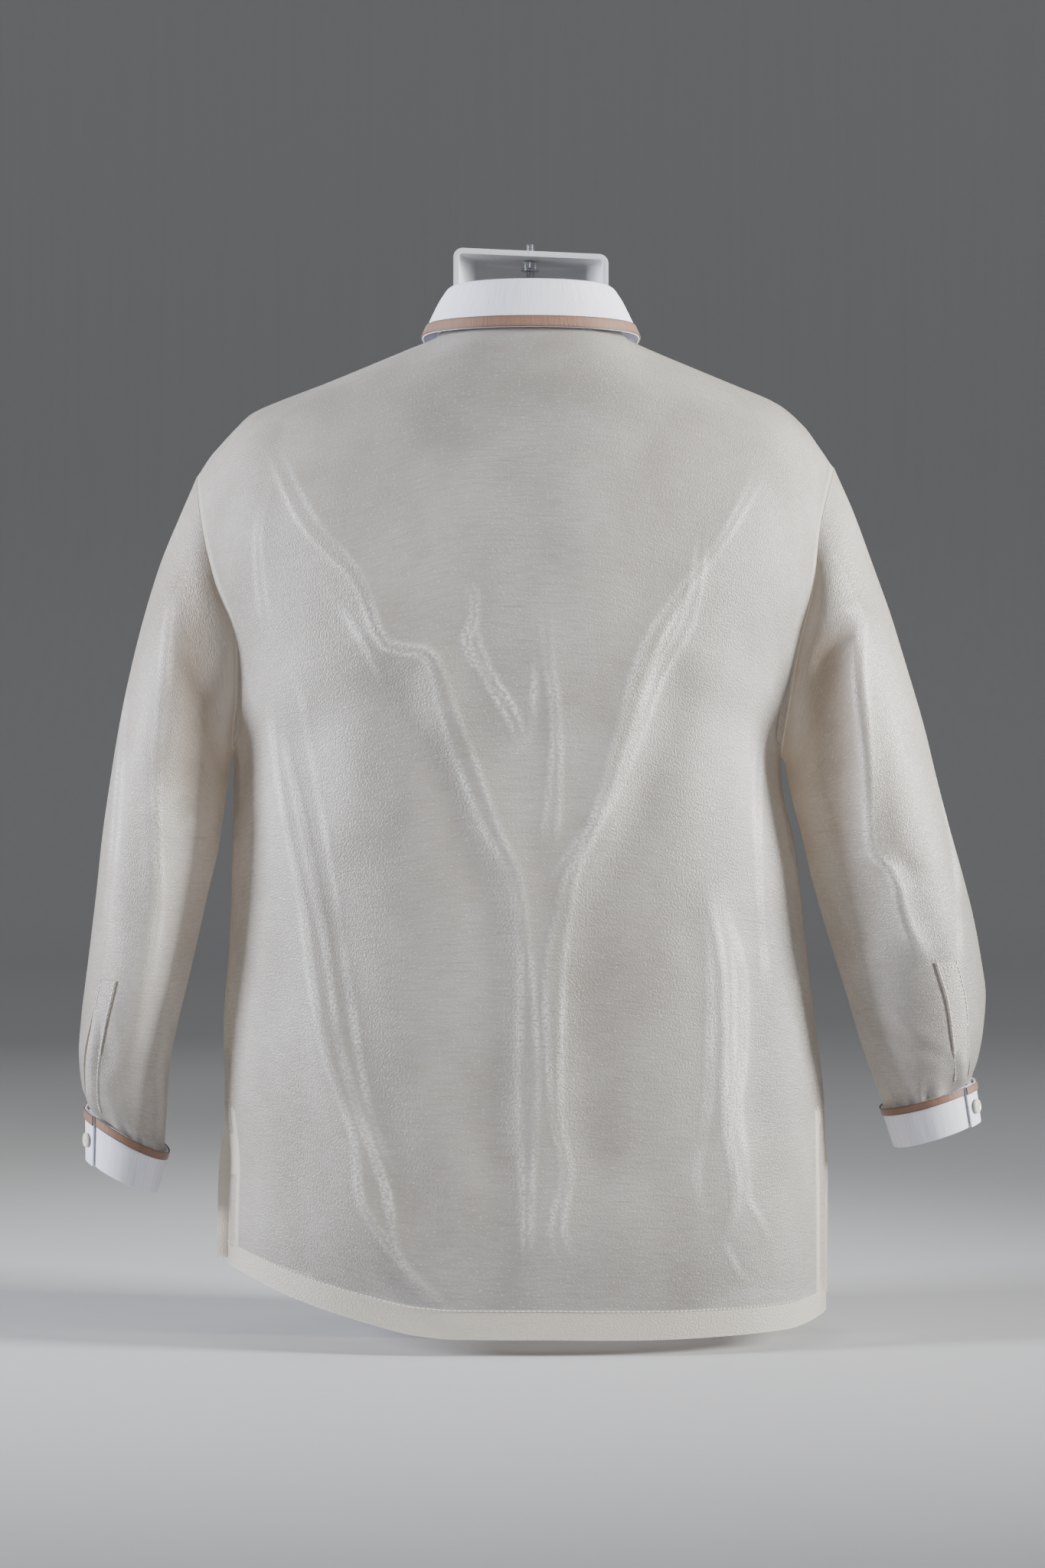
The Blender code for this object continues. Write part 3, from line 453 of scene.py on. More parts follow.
def colour_setting(name, description, code):
    return FloatVectorProperty(
        name=name, description=description, default=linear(code), size=3, min=0, max=1, subtype="COLOR"
    )


class BarongSizes(bpy.types.PropertyGroup):
    """Sizes that a maker would change, on the shirt's fixed frame."""

    fold_share: share_setting("Folds", "Depth of the body's soft folds against the solid's", 0.36)
    sleeve_share: share_setting("Sleeve folds", "Depth of the sleeves' soft folds against the solid's", 0.52)
    crease_share: share_setting("Creases", "Depth of the sharp creases against the deepest", 0.38)
    ripple: size_setting("Ripple", "Height of the cloth's small uneven ripples", 0.0006, 0, 0.003)
    hem: size_setting("Hem", "Height of the turned hem", 0.022, 0.005, 0.05)
    stitch: size_setting("Stitch", "Length from one stitch to the next", 0.0032, 0.0015, 0.008)
    thread: size_setting("Thread", "Thickness of the sewing thread", 0.0005, 0.0002, 0.001)
    spacing: size_setting("Mesh", "Distance between the points of a cloth sheet", 0.0021, 0.002, 0.02)


class BarongColours(bpy.types.PropertyGroup):
    """Colours of the cloths, the form and the stage."""

    jusi: colour_setting("Jusi", "The shirt's sheer ivory cloth", "D2CFCA")
    jusi_shade: colour_setting("Jusi shade", "The same cloth where it is duller", "B6B2AB")
    slub: colour_setting("Slub", "Thicker threads that run across", "A89D8C")
    # White of the painted glints and painted sparkle on the jusi; the sewing thread also takes it as its own
    # pale colour
    glint: colour_setting("Glint", "The cloth's brightest threads", "FFFEFA")
    doubled: colour_setting("Doubled", "The cloth where it is turned under", "F4EFE0")
    shade: colour_setting("Shade", "Cool tint where only shade lies behind the sheer cloth", "A9AEB8")
    # A warm tan for the light that comes through the cloth, also used as the painted tan shade in the sleeves'
    # fold hollows
    through: colour_setting("Through light", "Tint of light that comes through the cloth", "D9B98E")
    linen: colour_setting("Collar cloth", "White cloth of the collar and cuffs", "E4E5F0")
    linen_slub: colour_setting("Collar slub", "Thin uneven threads in the white cloth", "C9C6CC")
    band: colour_setting("Band", "Brown woven band on the collar and cuffs", "7F5F4D")
    band_edge: colour_setting("Band edge", "The band's darker edges", "4F3A31")
    plastic: colour_setting("Form", "Light grey plastic of the torso form", "C6C8CC")
    steel: colour_setting("Steel", "Zinc plate on the rod, nut and washer", "C9CCD2")
    shell: colour_setting("Button", "Shell of the buttons", "E6E0D2")
    floor: colour_setting("Floor", "Pale paper under and behind the shirt", "CDCED0")


class BarongStage(bpy.types.PropertyGroup):
    """Camera and light."""

    distance: size_setting("Distance", "From the camera to the shirt's side seams", 2.4, 1.0, 10.0)
    camera_x: size_setting("Camera across", "The camera's place across the shirt", 0.0073, -0.5, 0.5)
    camera_z: size_setting("Camera height", "The camera's height above the floor", 0.413, 0.1, 2.0)
    lens: FloatProperty(
        name="Lens", description="Focal length on a frame 36 mm high", default=73.37, min=20, max=200
    )
    key: FloatProperty(
        name="Side lights", description="Watts of the light at the right", default=38, min=0, max=500
    )
    side: FloatProperty(
        name="Fill lights", description="Watts of the top and front lights", default=6, min=0, max=500
    )
    world: FloatProperty(
        name="Room light", description="Strength of the even light", default=0.24, min=0, max=5
    )
    seed: IntProperty(name="Seed", description="Start of the uneven stitches", default=7, min=0)


def curve_through(xs, ys):
    """A smooth curve through the points, with no overshoot, as a function of an array of x."""
    xs, ys = np.array(xs, float), np.array(ys, float)
    steps = np.diff(xs)
    slopes = np.diff(ys) / steps
    before, after = slopes[:-1], slopes[1:]
    both = np.where(before * after > 0, before + after, 1)
    inner = np.where(before * after > 0, 2 * before * after / both, 0)
    leans = np.concatenate(([slopes[0]], inner, [slopes[-1]]))

    def at(x):
        x = np.clip(x, xs[0], xs[-1])
        i = np.clip(np.searchsorted(xs, x, side="right") - 1, 0, len(steps) - 1)
        t = (x - xs[i]) / steps[i]
        rise = ys[i] * (1 + 2 * t) * (1 - t) ** 2 + ys[i + 1] * t * t * (3 - 2 * t)
        return rise + steps[i] * (leans[i] * t * (1 - t) ** 2 + leans[i + 1] * t * t * (t - 1))

    return at


def column(rows, x_name, y_name):
    return curve_through([getattr(row, x_name) for row in rows], [getattr(row, y_name) for row in rows])


def eased(t):
    t = np.clip(t, 0.0, 1.0)
    return t * t * (3 - 2 * t)


def smooth_path(path, run=14.0):
    """The same path with rounded turns, as points about a run apart."""
    points = np.array(path, float)
    lengths = np.concatenate(([0], np.cumsum(np.linalg.norm(np.diff(points, axis=0), axis=1))))
    places = np.linspace(0, lengths[-1], max(int(lengths[-1] / run), 2))
    return np.stack([curve_through(lengths, points[:, k])(places) for k in (0, 1)], axis=1)


def off_path(x, z, path, reach):
    """Each near point's distance from a path and how far along it lies, with the path's length."""
    points = smooth_path(path)
    least = np.full(np.shape(x), np.inf)
    along = np.zeros(np.shape(x))
    done = 0.0
    for (ax, az), (bx, bz) in zip(points, points[1:]):
        run = math.hypot(bx - ax, bz - az)
        close = np.nonzero(np.hypot(x - (ax + bx) / 2, z - (az + bz) / 2) < reach + run)
        px, pz = x[close] - ax, z[close] - az
        t = np.clip((px * (bx - ax) + pz * (bz - az)) / (run * run), 0, 1)
        away = np.hypot(px - t * (bx - ax), pz - t * (bz - az))
        nearer = away < least[close]
        least[close] = np.where(nearer, away, least[close])
        along[close] = np.where(nearer, done + t * run, along[close])
        done += run
    return least, along, done


FADE = 42.0


def fold_height(folds, x, z):
    """The soft folds' height above the plain sheet; each fades at its ends."""
    total = np.zeros(np.shape(x))
    for fold in folds:
        away, along, length = off_path(x, z, fold.path, 3 * fold.width)
        ends = eased(0.25 + along / FADE) * eased(0.25 + (length - along) / FADE)
        total = total + fold.height * ends * np.exp(-((away / fold.width) ** 2))
    return total


def crease_lines(creases, x, z):
    """The sharp creases' height, and how strongly a painted glint brightens each point, from 0 to 1."""
    height = np.zeros(np.shape(x))
    glint = np.zeros(np.shape(x))
    for number, crease in enumerate(creases):
        away, along, length = off_path(x, z, crease.path, crease.gap + 4 * crease.width)
        ends = eased(along / FADE) * eased((length - along) / FADE)
        uneven = 0.62 + 0.26 * np.sin(along / 23 + number) + 0.18 * np.sin(along / 7.7 + 2 * number)
        wander = crease.gap / 2 * (1 + 0.35 * np.sin(along / 37 + 3 * number))
        lip = np.exp(-(((away - wander) / crease.width) ** 2)) * ends
        flat = 0.45 * eased((wander - away) / crease.width + 1) * ends
        height += crease.height * (lip * (0.7 + 0.3 * uneven) + flat)
        glint = np.maximum(glint, np.clip(lip * uneven, 0, 1))
    return height, glint


def ripples(x, z, turn=0.0):
    """Small uneven waves from -1 to 1, longer down the cloth than across it."""
    warp = 14 * np.sin(z / 61 + turn) + 9 * np.sin(x / 47 + z / 113)
    waves = np.sin((x + warp) / 9.7 + turn) + 0.8 * np.sin((x - 0.4 * z + warp) / 17.3 + 2 * turn)
    waves += 0.6 * np.sin((0.7 * x + z + 2 * warp) / 23.9) + 0.5 * np.sin((z - 0.3 * x) / 31.0 + turn)
    return waves / 2.9


EDGE = {side: column(EDGES, "height", side) for side in SIGN}
DEPTH = {face: column(DEPTHS, "height", face) for face in ("back", "front")}
TOP = {side: column(BACK_TOP, "out", side) for side in SIGN}
HEM = {face: column(HEMS, "x", face) for face in ("back", "front")}
CORNER = {
    face: {side: float(HEM[face](SIGN[side] * EDGE[side](HEM_CORNER))) for side in SIGN}
    for face in ("back", "front")
}


def by_side(left, table, x):
    return np.where(left, table["left"](x), table["right"](x))


def points_of(x, y, z):
    return np.stack(np.broadcast_arrays(x, y, z), axis=-1)


def ring_points(ring, turn, grow=0.0):
    """Points of a ring about the neck; turn is 0 at the middle back and pi at the middle front."""
    half_width, back, front, height_back, height_front, late_drop = ring
    side, fore = np.sin(turn), np.cos(turn)
    reach = np.where(fore > 0, back, front)
    z = height_back + (height_front - height_back) * ((1 - fore) / 2) ** late_drop
    return points_of(NECK_X + (half_width + grow) * side, NECK_Y + (reach + grow) * fore, z)


def roll_lean(v):
    """The lean of the sheet's normal where it rolls over the shoulder, as cosine and sine."""
    up = np.maximum(v - ROLL_START, 0) / (1 - ROLL_START)
    return np.sqrt(np.maximum(1 - up * up, 0)), up


def roll_rows(b):
    """Rows closer together where the cloth rolls over the shoulder."""
    rolled = np.sin(np.clip((b - ROLL_ROWS_FROM) / (1 - ROLL_ROWS_FROM), 0, 1) * math.pi / 2)
    rolled = ROLL_START + (1 - ROLL_START) * rolled
    return np.where(b < ROLL_ROWS_FROM, b / ROLL_ROWS_FROM * ROLL_START, rolled)


def top_points(x, face):
    """The panel's upper edge at x: the shoulder seam, or the neckline between the neck points."""
    turn = np.arcsin(np.clip((x - NECK_X) / NECK_SEAM.half_width, -1, 1))
    seam = ring_points(NECK_SEAM, turn if face == "back" else math.pi - turn)
    inside = np.abs(x - NECK_X) < NECK_SEAM.half_width
    y = SHOULDER_SEAM_Y + (SHOULDER_GAP / 2 if face == "back" else -SHOULDER_GAP / 2)
    return np.where(inside, seam[..., 1], y), np.where(inside, seam[..., 2], by_side(x > 0, TOP, np.abs(x)))


FINE = {"folds": 1.0, "sleeves": 1.0, "creases": 1.0, "ripple": 0.6}


def body_points(u, v, face, relief=1.0):
    """Points of the back or front; u runs from -1 (right) to 1 (left), v from hem to shoulder."""
    left = u > 0
    outward = 1 if face == "back" else -1
    tip = np.where(left, TIP["left"], TIP["right"])
    foot = np.where(left, CORNER[face]["left"], CORNER[face]["right"])
    edge_z = foot + v * (tip - foot)
    vent = eased((VENT_TOP - edge_z) / VENT_TAPER)
    step = np.where(left, VENT_STEP_BACK["left"], VENT_STEP_BACK["right"]) if face == "back" else 0
    x = u * (by_side(left, EDGE, edge_z) - step * vent)
    reach = np.where(left, EDGE["left"](TIP["left"]), EDGE["right"](TIP["right"]))
    top_y, top_z = top_points(u * reach, face)
    hem_z = HEM[face](x)
    z = hem_z + v * (top_z - hem_z)
    above = (edge_z - ARMPIT) / (tip - ARMPIT)
    armhole = ARMHOLE_DEPTH * np.sqrt(np.maximum(1 - (2 * above - 1) ** 2, 0))
    edge_y = np.where(above > 0, armhole, SEAM_GAP + (VENT_OPEN * vent if face == "back" else 0))
    roundness = SIDE_ROUNDNESS + (ARMHOLE_ROUNDNESS - SIDE_ROUNDNESS) * eased(above * ARMHOLE_ROUNDS_BY)
    crown = (1 - np.minimum(np.abs(u), 1) ** SECTION_POWER) ** roundness
    level, _ = roll_lean(v)
    seam_part = edge_y * (level + (1 - level) * u * u)
    crown_part = level * (DEPTH[face](z) - edge_y) * crown
    if relief:
        folds = fold_height(BACK_FOLDS if face == "back" else FRONT_FOLDS, x, z)
        creases, _ = crease_lines(BACK_CREASES if face == "back" else FRONT_CREASES, x, z)
        small = FINE["creases"] * creases + FINE["ripple"] * ripples(x, z, 0 if face == "back" else 1.3)
        crown_part = crown_part + level * crown * (FINE["folds"] * folds + small)
    return points_of(x, top_y * (1 - level) + outward * (seam_part + crown_part), z)


def moved_out(sheet, distance, step=0.003):
    """The sheet that lies a distance out from another one, along its normals."""

    def at(a, b):
        across = sheet(np.minimum(a + step, 1), b) - sheet(np.maximum(a - step, 0), b)
        along = sheet(a, np.minimum(b + step, 1)) - sheet(a, np.maximum(b - step, 0))
        normal = np.cross(across, along)
        length = np.maximum(np.linalg.norm(normal, axis=-1, keepdims=True), 1e-9)
        return sheet(a, b) + normal / length * distance

    return at


def part_of(sheet, a0, a1, b0, b1):
    """A rectangle of a sheet, as a sheet of its own."""
    return lambda a, b: sheet(a0 + a * (a1 - a0), b0 + b * (b1 - b0))


def back_sheet(a, b, relief=1.0):
    return body_points(-np.cos(math.pi * a), roll_rows(b), "back", relief)


def front_sheet(side):
    """One front, between its edge just past the middle line and its side seam."""
    edge_turn = math.acos(-OVERLAP / FRONT_HALF)
    turns = (edge_turn, 0) if side == "left" else (math.pi, math.pi - edge_turn)

    def at(a, b, relief=1.0):
        v = roll_rows(b)
        place = body_points(np.cos(turns[0] + a * (turns[1] - turns[0])), v, "front", relief)
        if side == "left":
            return place
        level, up = roll_lean(v)
        under = LAYER * eased((place[..., 0] + 3 * OVERLAP) / (2 * OVERLAP))
        return place + points_of(0, under * level, -under * up)

    return at


def band_sheet(a, b):
    """The front band on the left front; a runs from the wearer's right to left."""
    v = roll_rows(b)
    level, up = roll_lean(v)
    place = body_points((2 * a - 1) * BAND_WIDTH / 2 / FRONT_HALF, v, "front")
    return place + points_of(0, -LAYER * level, LAYER * up)


def armhole_points(turn, side):
    """The edge of the body at the armhole; turn is 0 at the shoulder tip and pi at the armpit."""
    z = ARMPIT + (TIP[side] - ARMPIT) * (1 + np.cos(turn)) / 2
    edge = SIGN[side] * np.ones_like(z)
    sides = []
    for face in ("back", "front"):
        low = CORNER[face][side]
        sides.append(body_points(edge, (z - low) / (TIP[side] - low), face))
    return np.where((np.sin(turn) >= 0)[..., None], *sides)


def tucked(rings, share):
    """A ring just inside the cuff, where the sleeve's end is sewn in."""
    ring = Sleeve(*(upper + share * (lower - upper) for upper, lower in zip(*rings)))
    return ring._replace(
        outer_x=ring.outer_x - CUFF_TUCK,
        inner_x=ring.inner_x + CUFF_TUCK,
        back=ring.back - CUFF_TUCK,
        front=ring.front - CUFF_TUCK,
    )


FRONT_FOLD_SHARE = 0.4
GATHERS = 15
GATHER_DEPTH = 1.5
GATHER_REACH = 0.10


def sleeve_sheet(side):
    """A sleeve from its armhole (b = 0) to its cuff; a turns from the outer edge to the back and round."""
    rows = (*SLEEVES[side], tucked(CUFFS[side], 0), tucked(CUFFS[side], CUFF_TUCK_SHARE))
    places = [row_at / (len(rows) - 1) for row_at in range(len(rows))]
    tables = [curve_through(places, [row[i] for row in rows]) for i in range(len(Sleeve._fields))]
    first = rows[0]
    sign = SIGN[side]
    other = "right" if side == "left" else "left"

    def at(a, b):
        turn = 2 * math.pi * a
        across, deep = np.cos(turn), np.sin(turn)
        outer_x, outer_z, inner_x, inner_z, back, front = (table(b) for table in tables)
        gathers = 1 + GATHER_DEPTH / back * eased((b - 0.965 + GATHER_REACH) / GATHER_REACH) * np.sin(
            GATHERS * turn + 2 * np.sin(3 * turn)
        )
        x = (outer_x + inner_x) / 2 + (outer_x - inner_x) / 2 * across * gathers
        z = (outer_z + inner_z) / 2 + (outer_z - inner_z) / 2 * across
        fade = eased(b * FOLDS_START_BY) * eased((1 - b) * FOLDS_END_BY)
        behind = FINE["sleeves"] * fold_height(SLEEVE_FOLDS[side], x, z)
        behind += FINE["creases"] * crease_lines(SLEEVE_CREASES[side], x, z)[0]
        before = FINE["sleeves"] * fold_height(SLEEVE_FOLDS[other], x, z) * FRONT_FOLD_SHARE
        folds = np.where(deep > 0, behind, before) * fade * deep * np.abs(deep)
        small = FINE["ripple"] * ripples(x + 40 * deep, z, 2.1 * sign) * fade
        y = np.where(deep > 0, back, front) * deep * gathers + folds
        start = armhole_points(turn, side)
        blend = 1 - eased(b * ARMHOLE_BLEND_BY)
        plain_x = (first.outer_x + first.inner_x) / 2 + (first.outer_x - first.inner_x) / 2 * across
        plain_z = (first.outer_z + first.inner_z) / 2 + (first.outer_z - first.inner_z) / 2 * across
        plain_y = np.where(deep > 0, first.back, first.front) * deep
        x = x + (start[..., 0] * sign - plain_x) * blend + ARMHOLE_GAP * (1 - b) + small * across
        y = y + (start[..., 1] - plain_y) * blend + small * deep
        return points_of(sign * x, y, z + (start[..., 2] - plain_z) * blend)

    return at


def slit_sheet(side):
    """The sleeve cut open above its cuff: a runs from one edge of the slit round to the other."""
    sleeve, slit = sleeve_sheet(side), SLITS[side]

    def at(a, b):
        down = np.clip((b - slit.start) / (PLACKET_FOOT - slit.start), 0, 1.2)
        opened = eased(down * 1.6) * (1 - 0.85 * eased((b - PLACKET_FOOT) / 0.05))
        middle = slit.turn_head + (slit.turn_foot - slit.turn_head) * np.clip(down, 0, 1)
        half = slit.open / 48 * opened
        turn = middle + half + a * (2 * math.pi - 2 * half)
        place = sleeve(np.mod(turn / (2 * math.pi), 1.0), b)
        near = np.exp(-((a / 0.035) ** 2)) + 0.25 * np.exp(-(((1 - a) / 0.03) ** 2))
        lift = slit.lift * opened * near
        away = points_of(SIGN[side] * np.cos(turn), np.sin(turn), 0 * turn)
        return place + away * lift[..., None]

    return at


def placket_sheet(side):
    """The stitched strip beside the slit, laid just out from the sleeve."""
    sleeve = sleeve_sheet(side)

    def strip(a, b):
        middle = PLACKET_ANGLE_FOOT + b * (PLACKET_ANGLE_HEAD - PLACKET_ANGLE_FOOT)
        turn = middle + (a - 0.5) * PLACKET_TURN
        return sleeve(turn / (2 * math.pi), PLACKET_FOOT + b * (PLACKET_HEAD - PLACKET_FOOT))

    return moved_out(strip, SIGN[side] * PLACKET_LAYER)


def cuff_sheet(side, out=0.0):
    """A cuff from its upper edge (b = 0); a runs once round and on over its own start."""
    upper, lower = CUFFS[side]
    sign = SIGN[side]

    def at(a, b):
        turned = a * (2 * math.pi + CUFF_OVERLAP)
        turn = CUFF_OPENS + turned
        lapping = eased((turned - 2 * math.pi + CUFF_LIFT_TURN) / CUFF_LIFT_TURN)
        lift = out + (CUFF_CLOTH + 2 * SEAM_GAP) * lapping
        section = (upper[i] + b * (lower[i] - upper[i]) for i in range(6))
        outer_x, outer_z, inner_x, inner_z, back, front = section
        across, deep = np.cos(turn), np.sin(turn)
        x = (outer_x + inner_x) / 2 + ((outer_x - inner_x) / 2 + lift) * across
        z = (outer_z + inner_z) / 2 + (outer_z - inner_z) / 2 * across
        return points_of(sign * x, (np.where(deep > 0, back, front) + lift) * deep, z)

    return at


def collar_sheet(rings, places, out=0.0):
    """A collar piece through rings, open at the front."""
    tables = [curve_through(places, [ring[i] for ring in rings]) for i in range(len(Ring._fields))]

    def at(a, b):
        ring = [table(b) for table in tables]
        gap = COLLAR_OPENING / ring[0] * (FOLD_OPENING_SHARE + (1 - FOLD_OPENING_SHARE) * np.clip(b, 0, 1))
        return ring_points(ring, (math.pi - gap) * (2 * a - 1), out)

    return at


STAND = collar_sheet((STAND_FOOT, STAND_TOP), (0, 1))
FALL = collar_sheet((FOLD, FALL_UPPER, FALL_MIDDLE, FALL_EDGE), (0, 1 / 3, 2 / 3, 1))
FOLDED_FALL = collar_sheet(
    (FOLD_INSIDE, FOLD_CREST, FOLD, FALL_UPPER, FALL_MIDDLE, FALL_EDGE), (-0.2, -0.08, 0, 1 / 3, 2 / 3, 1)
)
FORM_TABLES = [column(FORM, "height", name) for name in Form._fields[1:]]
FORM_HEIGHTS = curve_through(range(len(FORM)), [row.height for row in FORM])


def form_points(a, z):
    """The torso form from its left rim (a = 0) round the front to its right rim, at a height."""
    half, front, back, power = (table(z) for table in FORM_TABLES)
    turn = math.pi * a
    across, fore = np.cos(turn), np.maximum(np.sin(turn), 0)
    x = half * np.copysign(np.abs(across) ** (2 / power), across)
    y = back - (back + front) * fore ** (2 / power)
    tilt = CAP_TILT * x * eased((z - CAP_TILT_FROM) / (FORM[-1].height - CAP_TILT_FROM))
    return points_of(x + NECK_X * eased((z - NECK_SHIFT_FROM) / NECK_SHIFT_OVER), y, z + tilt)


CAP_FROM = 0.86


def form_sheet(a, b):
    """The shell from its base up (b to CAP_FROM), round the cap's edge and across it to its back rim."""
    shell_b = np.clip(b / CAP_FROM, 0, 1)
    top = CAP_TOP - FORM_WALL / 2 - CAP_ROUND
    z = FORM_HEIGHTS(shell_b * (len(FORM) - 1))
    z = FORM_FOOT + np.minimum(z - FORM[1].height, top) * (top - FORM_FOOT) / top
    place = form_points(a, np.maximum(z, FORM_FOOT))
    over = np.clip((b - CAP_FROM) / (1 - CAP_FROM), 0, 1)
    corner = np.minimum(over / 0.35, 1) * math.pi / 2
    inward = np.clip((over - 0.35) / 0.65, 0, 1)
    middle = points_of(NECK_X, FORM[-1].back + 0 * a, top + CAP_ROUND + 0 * a)
    flat = np.linalg.norm((place - middle)[..., :2], axis=-1)
    share = np.maximum(1 - (CAP_ROUND * (1 - np.cos(corner))) / np.maximum(flat, 1e-6), 0) * (1 - inward)
    moved = middle + (place - middle) * share[..., None]
    lift = CAP_ROUND * np.sin(corner)
    tilt = CAP_TILT * (moved[..., 0] - NECK_X) * (over > 0)
    capped = points_of(moved[..., 0], moved[..., 1], top + lift + tilt)
    return np.where((over > 0)[..., None], capped, place)


def add_node(tree, kind, inputs=(), **settings):
    """Adds a node, sets its properties, and fills or links its inputs."""
    made = tree.nodes.new("ShaderNode" + kind)
    for name, value in settings.items():
        setattr(made, name, value)
    for socket, value in dict(inputs).items():
        if isinstance(value, bpy.types.NodeSocket):
            tree.links.new(value, made.inputs[socket])
        else:
            made.inputs[socket].default_value = value
    return made


def new_material(name):
    material = bpy.data.materials.new(name)
    material.use_nodes = True
    tree = material.node_tree
    return material, tree, tree.nodes["Principled BSDF"]


def rgba(colour):
    return (*colour, 1.0)


def mixed(tree, share, first, second, blend="MIX"):
    """A colour between two others, as a socket."""
    made = add_node(tree, "Mix", {0: share, 6: first, 7: second}, data_type="RGBA", blend_type=blend)
    return made.outputs[2]


def noise_share(tree, place, size, low, high, detail=2.0):
    """A patchy share from 0 to 1 on cloth coordinates; size is a patch's width and height in metres."""
    stretched = add_node(tree, "Mapping", {"Vector": place, "Scale": (1 / size[0], 1 / size[1], 1)})
    grain = add_node(tree, "TexNoise", {"Vector": stretched.outputs[0], "Scale": 1.0, "Detail": detail})
    levels = {0: grain.outputs[0], 1: low, 2: high}
    return add_node(tree, "MapRange", levels, interpolation_type="SMOOTHSTEP").outputs[0]


def woven_jusi(name):
    """Jusi, plain woven from fine silky raw threads and finished stiff."""
    # It gives the eye a sheer satin glow with a painted grain of tiny glints and painted glints along its
    # creases, and thin darker slubs that run across.
    # Real threads lie 0.25 mm apart, too fine to show, so the grain is drawn 1.3 mm wide.
    # Light that comes through it is warmer. It gets a painted tan shade in the hollows of the sleeves' folds,
    # and it is creamier and denser where it is turned under. Where only shade lies behind it, a painted cool
    # shade darkens it.
    colours = bpy.context.scene.barong_colours
    material, tree, shader = new_material(name)
    place = add_node(tree, "UVMap", uv_map="Cut").outputs[0]

    def worked(kind, first, second, third=0.0):
        terms = {0: first, 1: second, 2: third}
        return add_node(tree, "Math", terms, operation=kind, use_clamp=True).outputs[0]

    broad = noise_share(tree, place, (0.11, 0.14), 0.36, 0.64)
    cloudy = noise_share(tree, place, (0.035, 0.05), 0.40, 0.68)
    slub = noise_share(tree, place, (0.034, 0.0013), 0.68, 0.76, 1.0)
    weft = noise_share(tree, place, (0.016, 0.0017), 0.35, 0.70)
    grain = noise_share(tree, place, (0.0013, 0.0013), 0.30, 0.72)
    # A painted grain of tiny highlights scattered over the cloth
    painted_sparkle = noise_share(tree, place, (0.0021, 0.0014), 0.62, 0.72, 1.0)
    glint = add_node(tree, "Attribute", attribute_name="glint").outputs["Fac"]
    doubled = add_node(tree, "Attribute", attribute_name="doubled").outputs["Fac"]
    layered = add_node(tree, "Attribute", attribute_name="layered").outputs["Fac"]
    shade = add_node(tree, "Attribute", attribute_name="shade").outputs["Fac"]
    shade = worked("MULTIPLY", shade, worked("MULTIPLY_ADD", doubled, -0.7, 1.0))
    patches = worked("MULTIPLY_ADD", broad, 0.7, worked("MULTIPLY", cloudy, 0.3))
    ground = mixed(tree, patches, rgba(colours.jusi), rgba(colours.jusi_shade))
    ground = mixed(tree, worked("MULTIPLY", weft, 0.32), ground, rgba(colours.slub))
    ground = mixed(tree, worked("MULTIPLY", slub, 0.55), ground, rgba(colours.slub))
    ground = mixed(tree, worked("MULTIPLY", doubled, 0.9), ground, rgba(colours.doubled))
    # Painted tan shade in the sleeves' fold hollows, then painted cool shade where only shade lies behind the
    # cloth
    ground = mixed(tree, worked("MULTIPLY", layered, 0.42), ground, rgba(colours.through), "MULTIPLY")
    ground = mixed(tree, worked("MULTIPLY", shade, 0.5), ground, rgba(colours.shade), "MULTIPLY")
    # Painted glints along the creases, broken into dots, and the painted sparkle grain, all mixed toward the
    # glint white
    dots = noise_share(tree, place, (0.0022, 0.0018), 0.42, 0.60, 1.0)
    dotted = worked("MULTIPLY", glint, worked("MULTIPLY_ADD", dots, 1.5, 0.22))
    bright = worked("MULTIPLY_ADD", painted_sparkle, 0.36, dotted)
    ground = mixed(tree, bright, ground, rgba(colours.glint))
    bump = add_node(tree, "Bump", {"Strength": 0.5, "Distance": 0.0005, "Height": grain})
    for socket, value in (
        ("Roughness", 0.34), ("Specular IOR Level", 0.8), ("Sheen Weight", 0.25), ("Sheen Roughness", 0.35),
        ("Alpha", 0.78),
    ):
        shader.inputs[socket].default_value = value
    tree.links.new(ground, shader.inputs["Base Color"])
    tree.links.new(bump.outputs[0], shader.inputs["Normal"])
    warm = mixed(tree, 0.75, ground, rgba(colours.through), "MULTIPLY")
    through = add_node(tree, "BsdfTranslucent", {"Color": warm})
    both = add_node(tree, "MixShader", {0: 0.22, 1: shader.outputs[0], 2: through.outputs[0]})
    tree.links.new(both.outputs[0], tree.nodes["Material Output"].inputs["Surface"])
    return material


def woven_linen(name, upright=True):
    """White cotton and linen cloth, plain woven with uneven threads, starched over a stiff lining."""
    # It gives the eye a clean matt white with faint thin streaks along its uneven threads.
    # Real threads lie 0.4 mm apart, so the streaks are drawn 1.4 mm wide.
    colours = bpy.context.scene.barong_colours
    material, tree, shader = new_material(name)
    place = add_node(tree, "UVMap", uv_map="Cut").outputs[0]
    streak = noise_share(tree, place, (0.0014, 0.05) if upright else (0.05, 0.0014), 0.42, 0.74)
    grain = noise_share(tree, place, (0.0011, 0.0011), 0.3, 0.7)
    scaled = add_node(tree, "Math", {0: streak, 1: 0.5}, operation="MULTIPLY").outputs[0]
    ground = mixed(tree, scaled, rgba(colours.linen), rgba(colours.linen_slub))
    bump = add_node(tree, "Bump", {"Strength": 0.3, "Distance": 0.0003, "Height": grain})
    for socket, value in (("Roughness", 0.8), ("Sheen Weight", 0.12), ("Sheen Roughness", 0.5)):
        shader.inputs[socket].default_value = value
    tree.links.new(ground, shader.inputs["Base Color"])
    tree.links.new(bump.outputs[0], shader.inputs["Normal"])
    return material


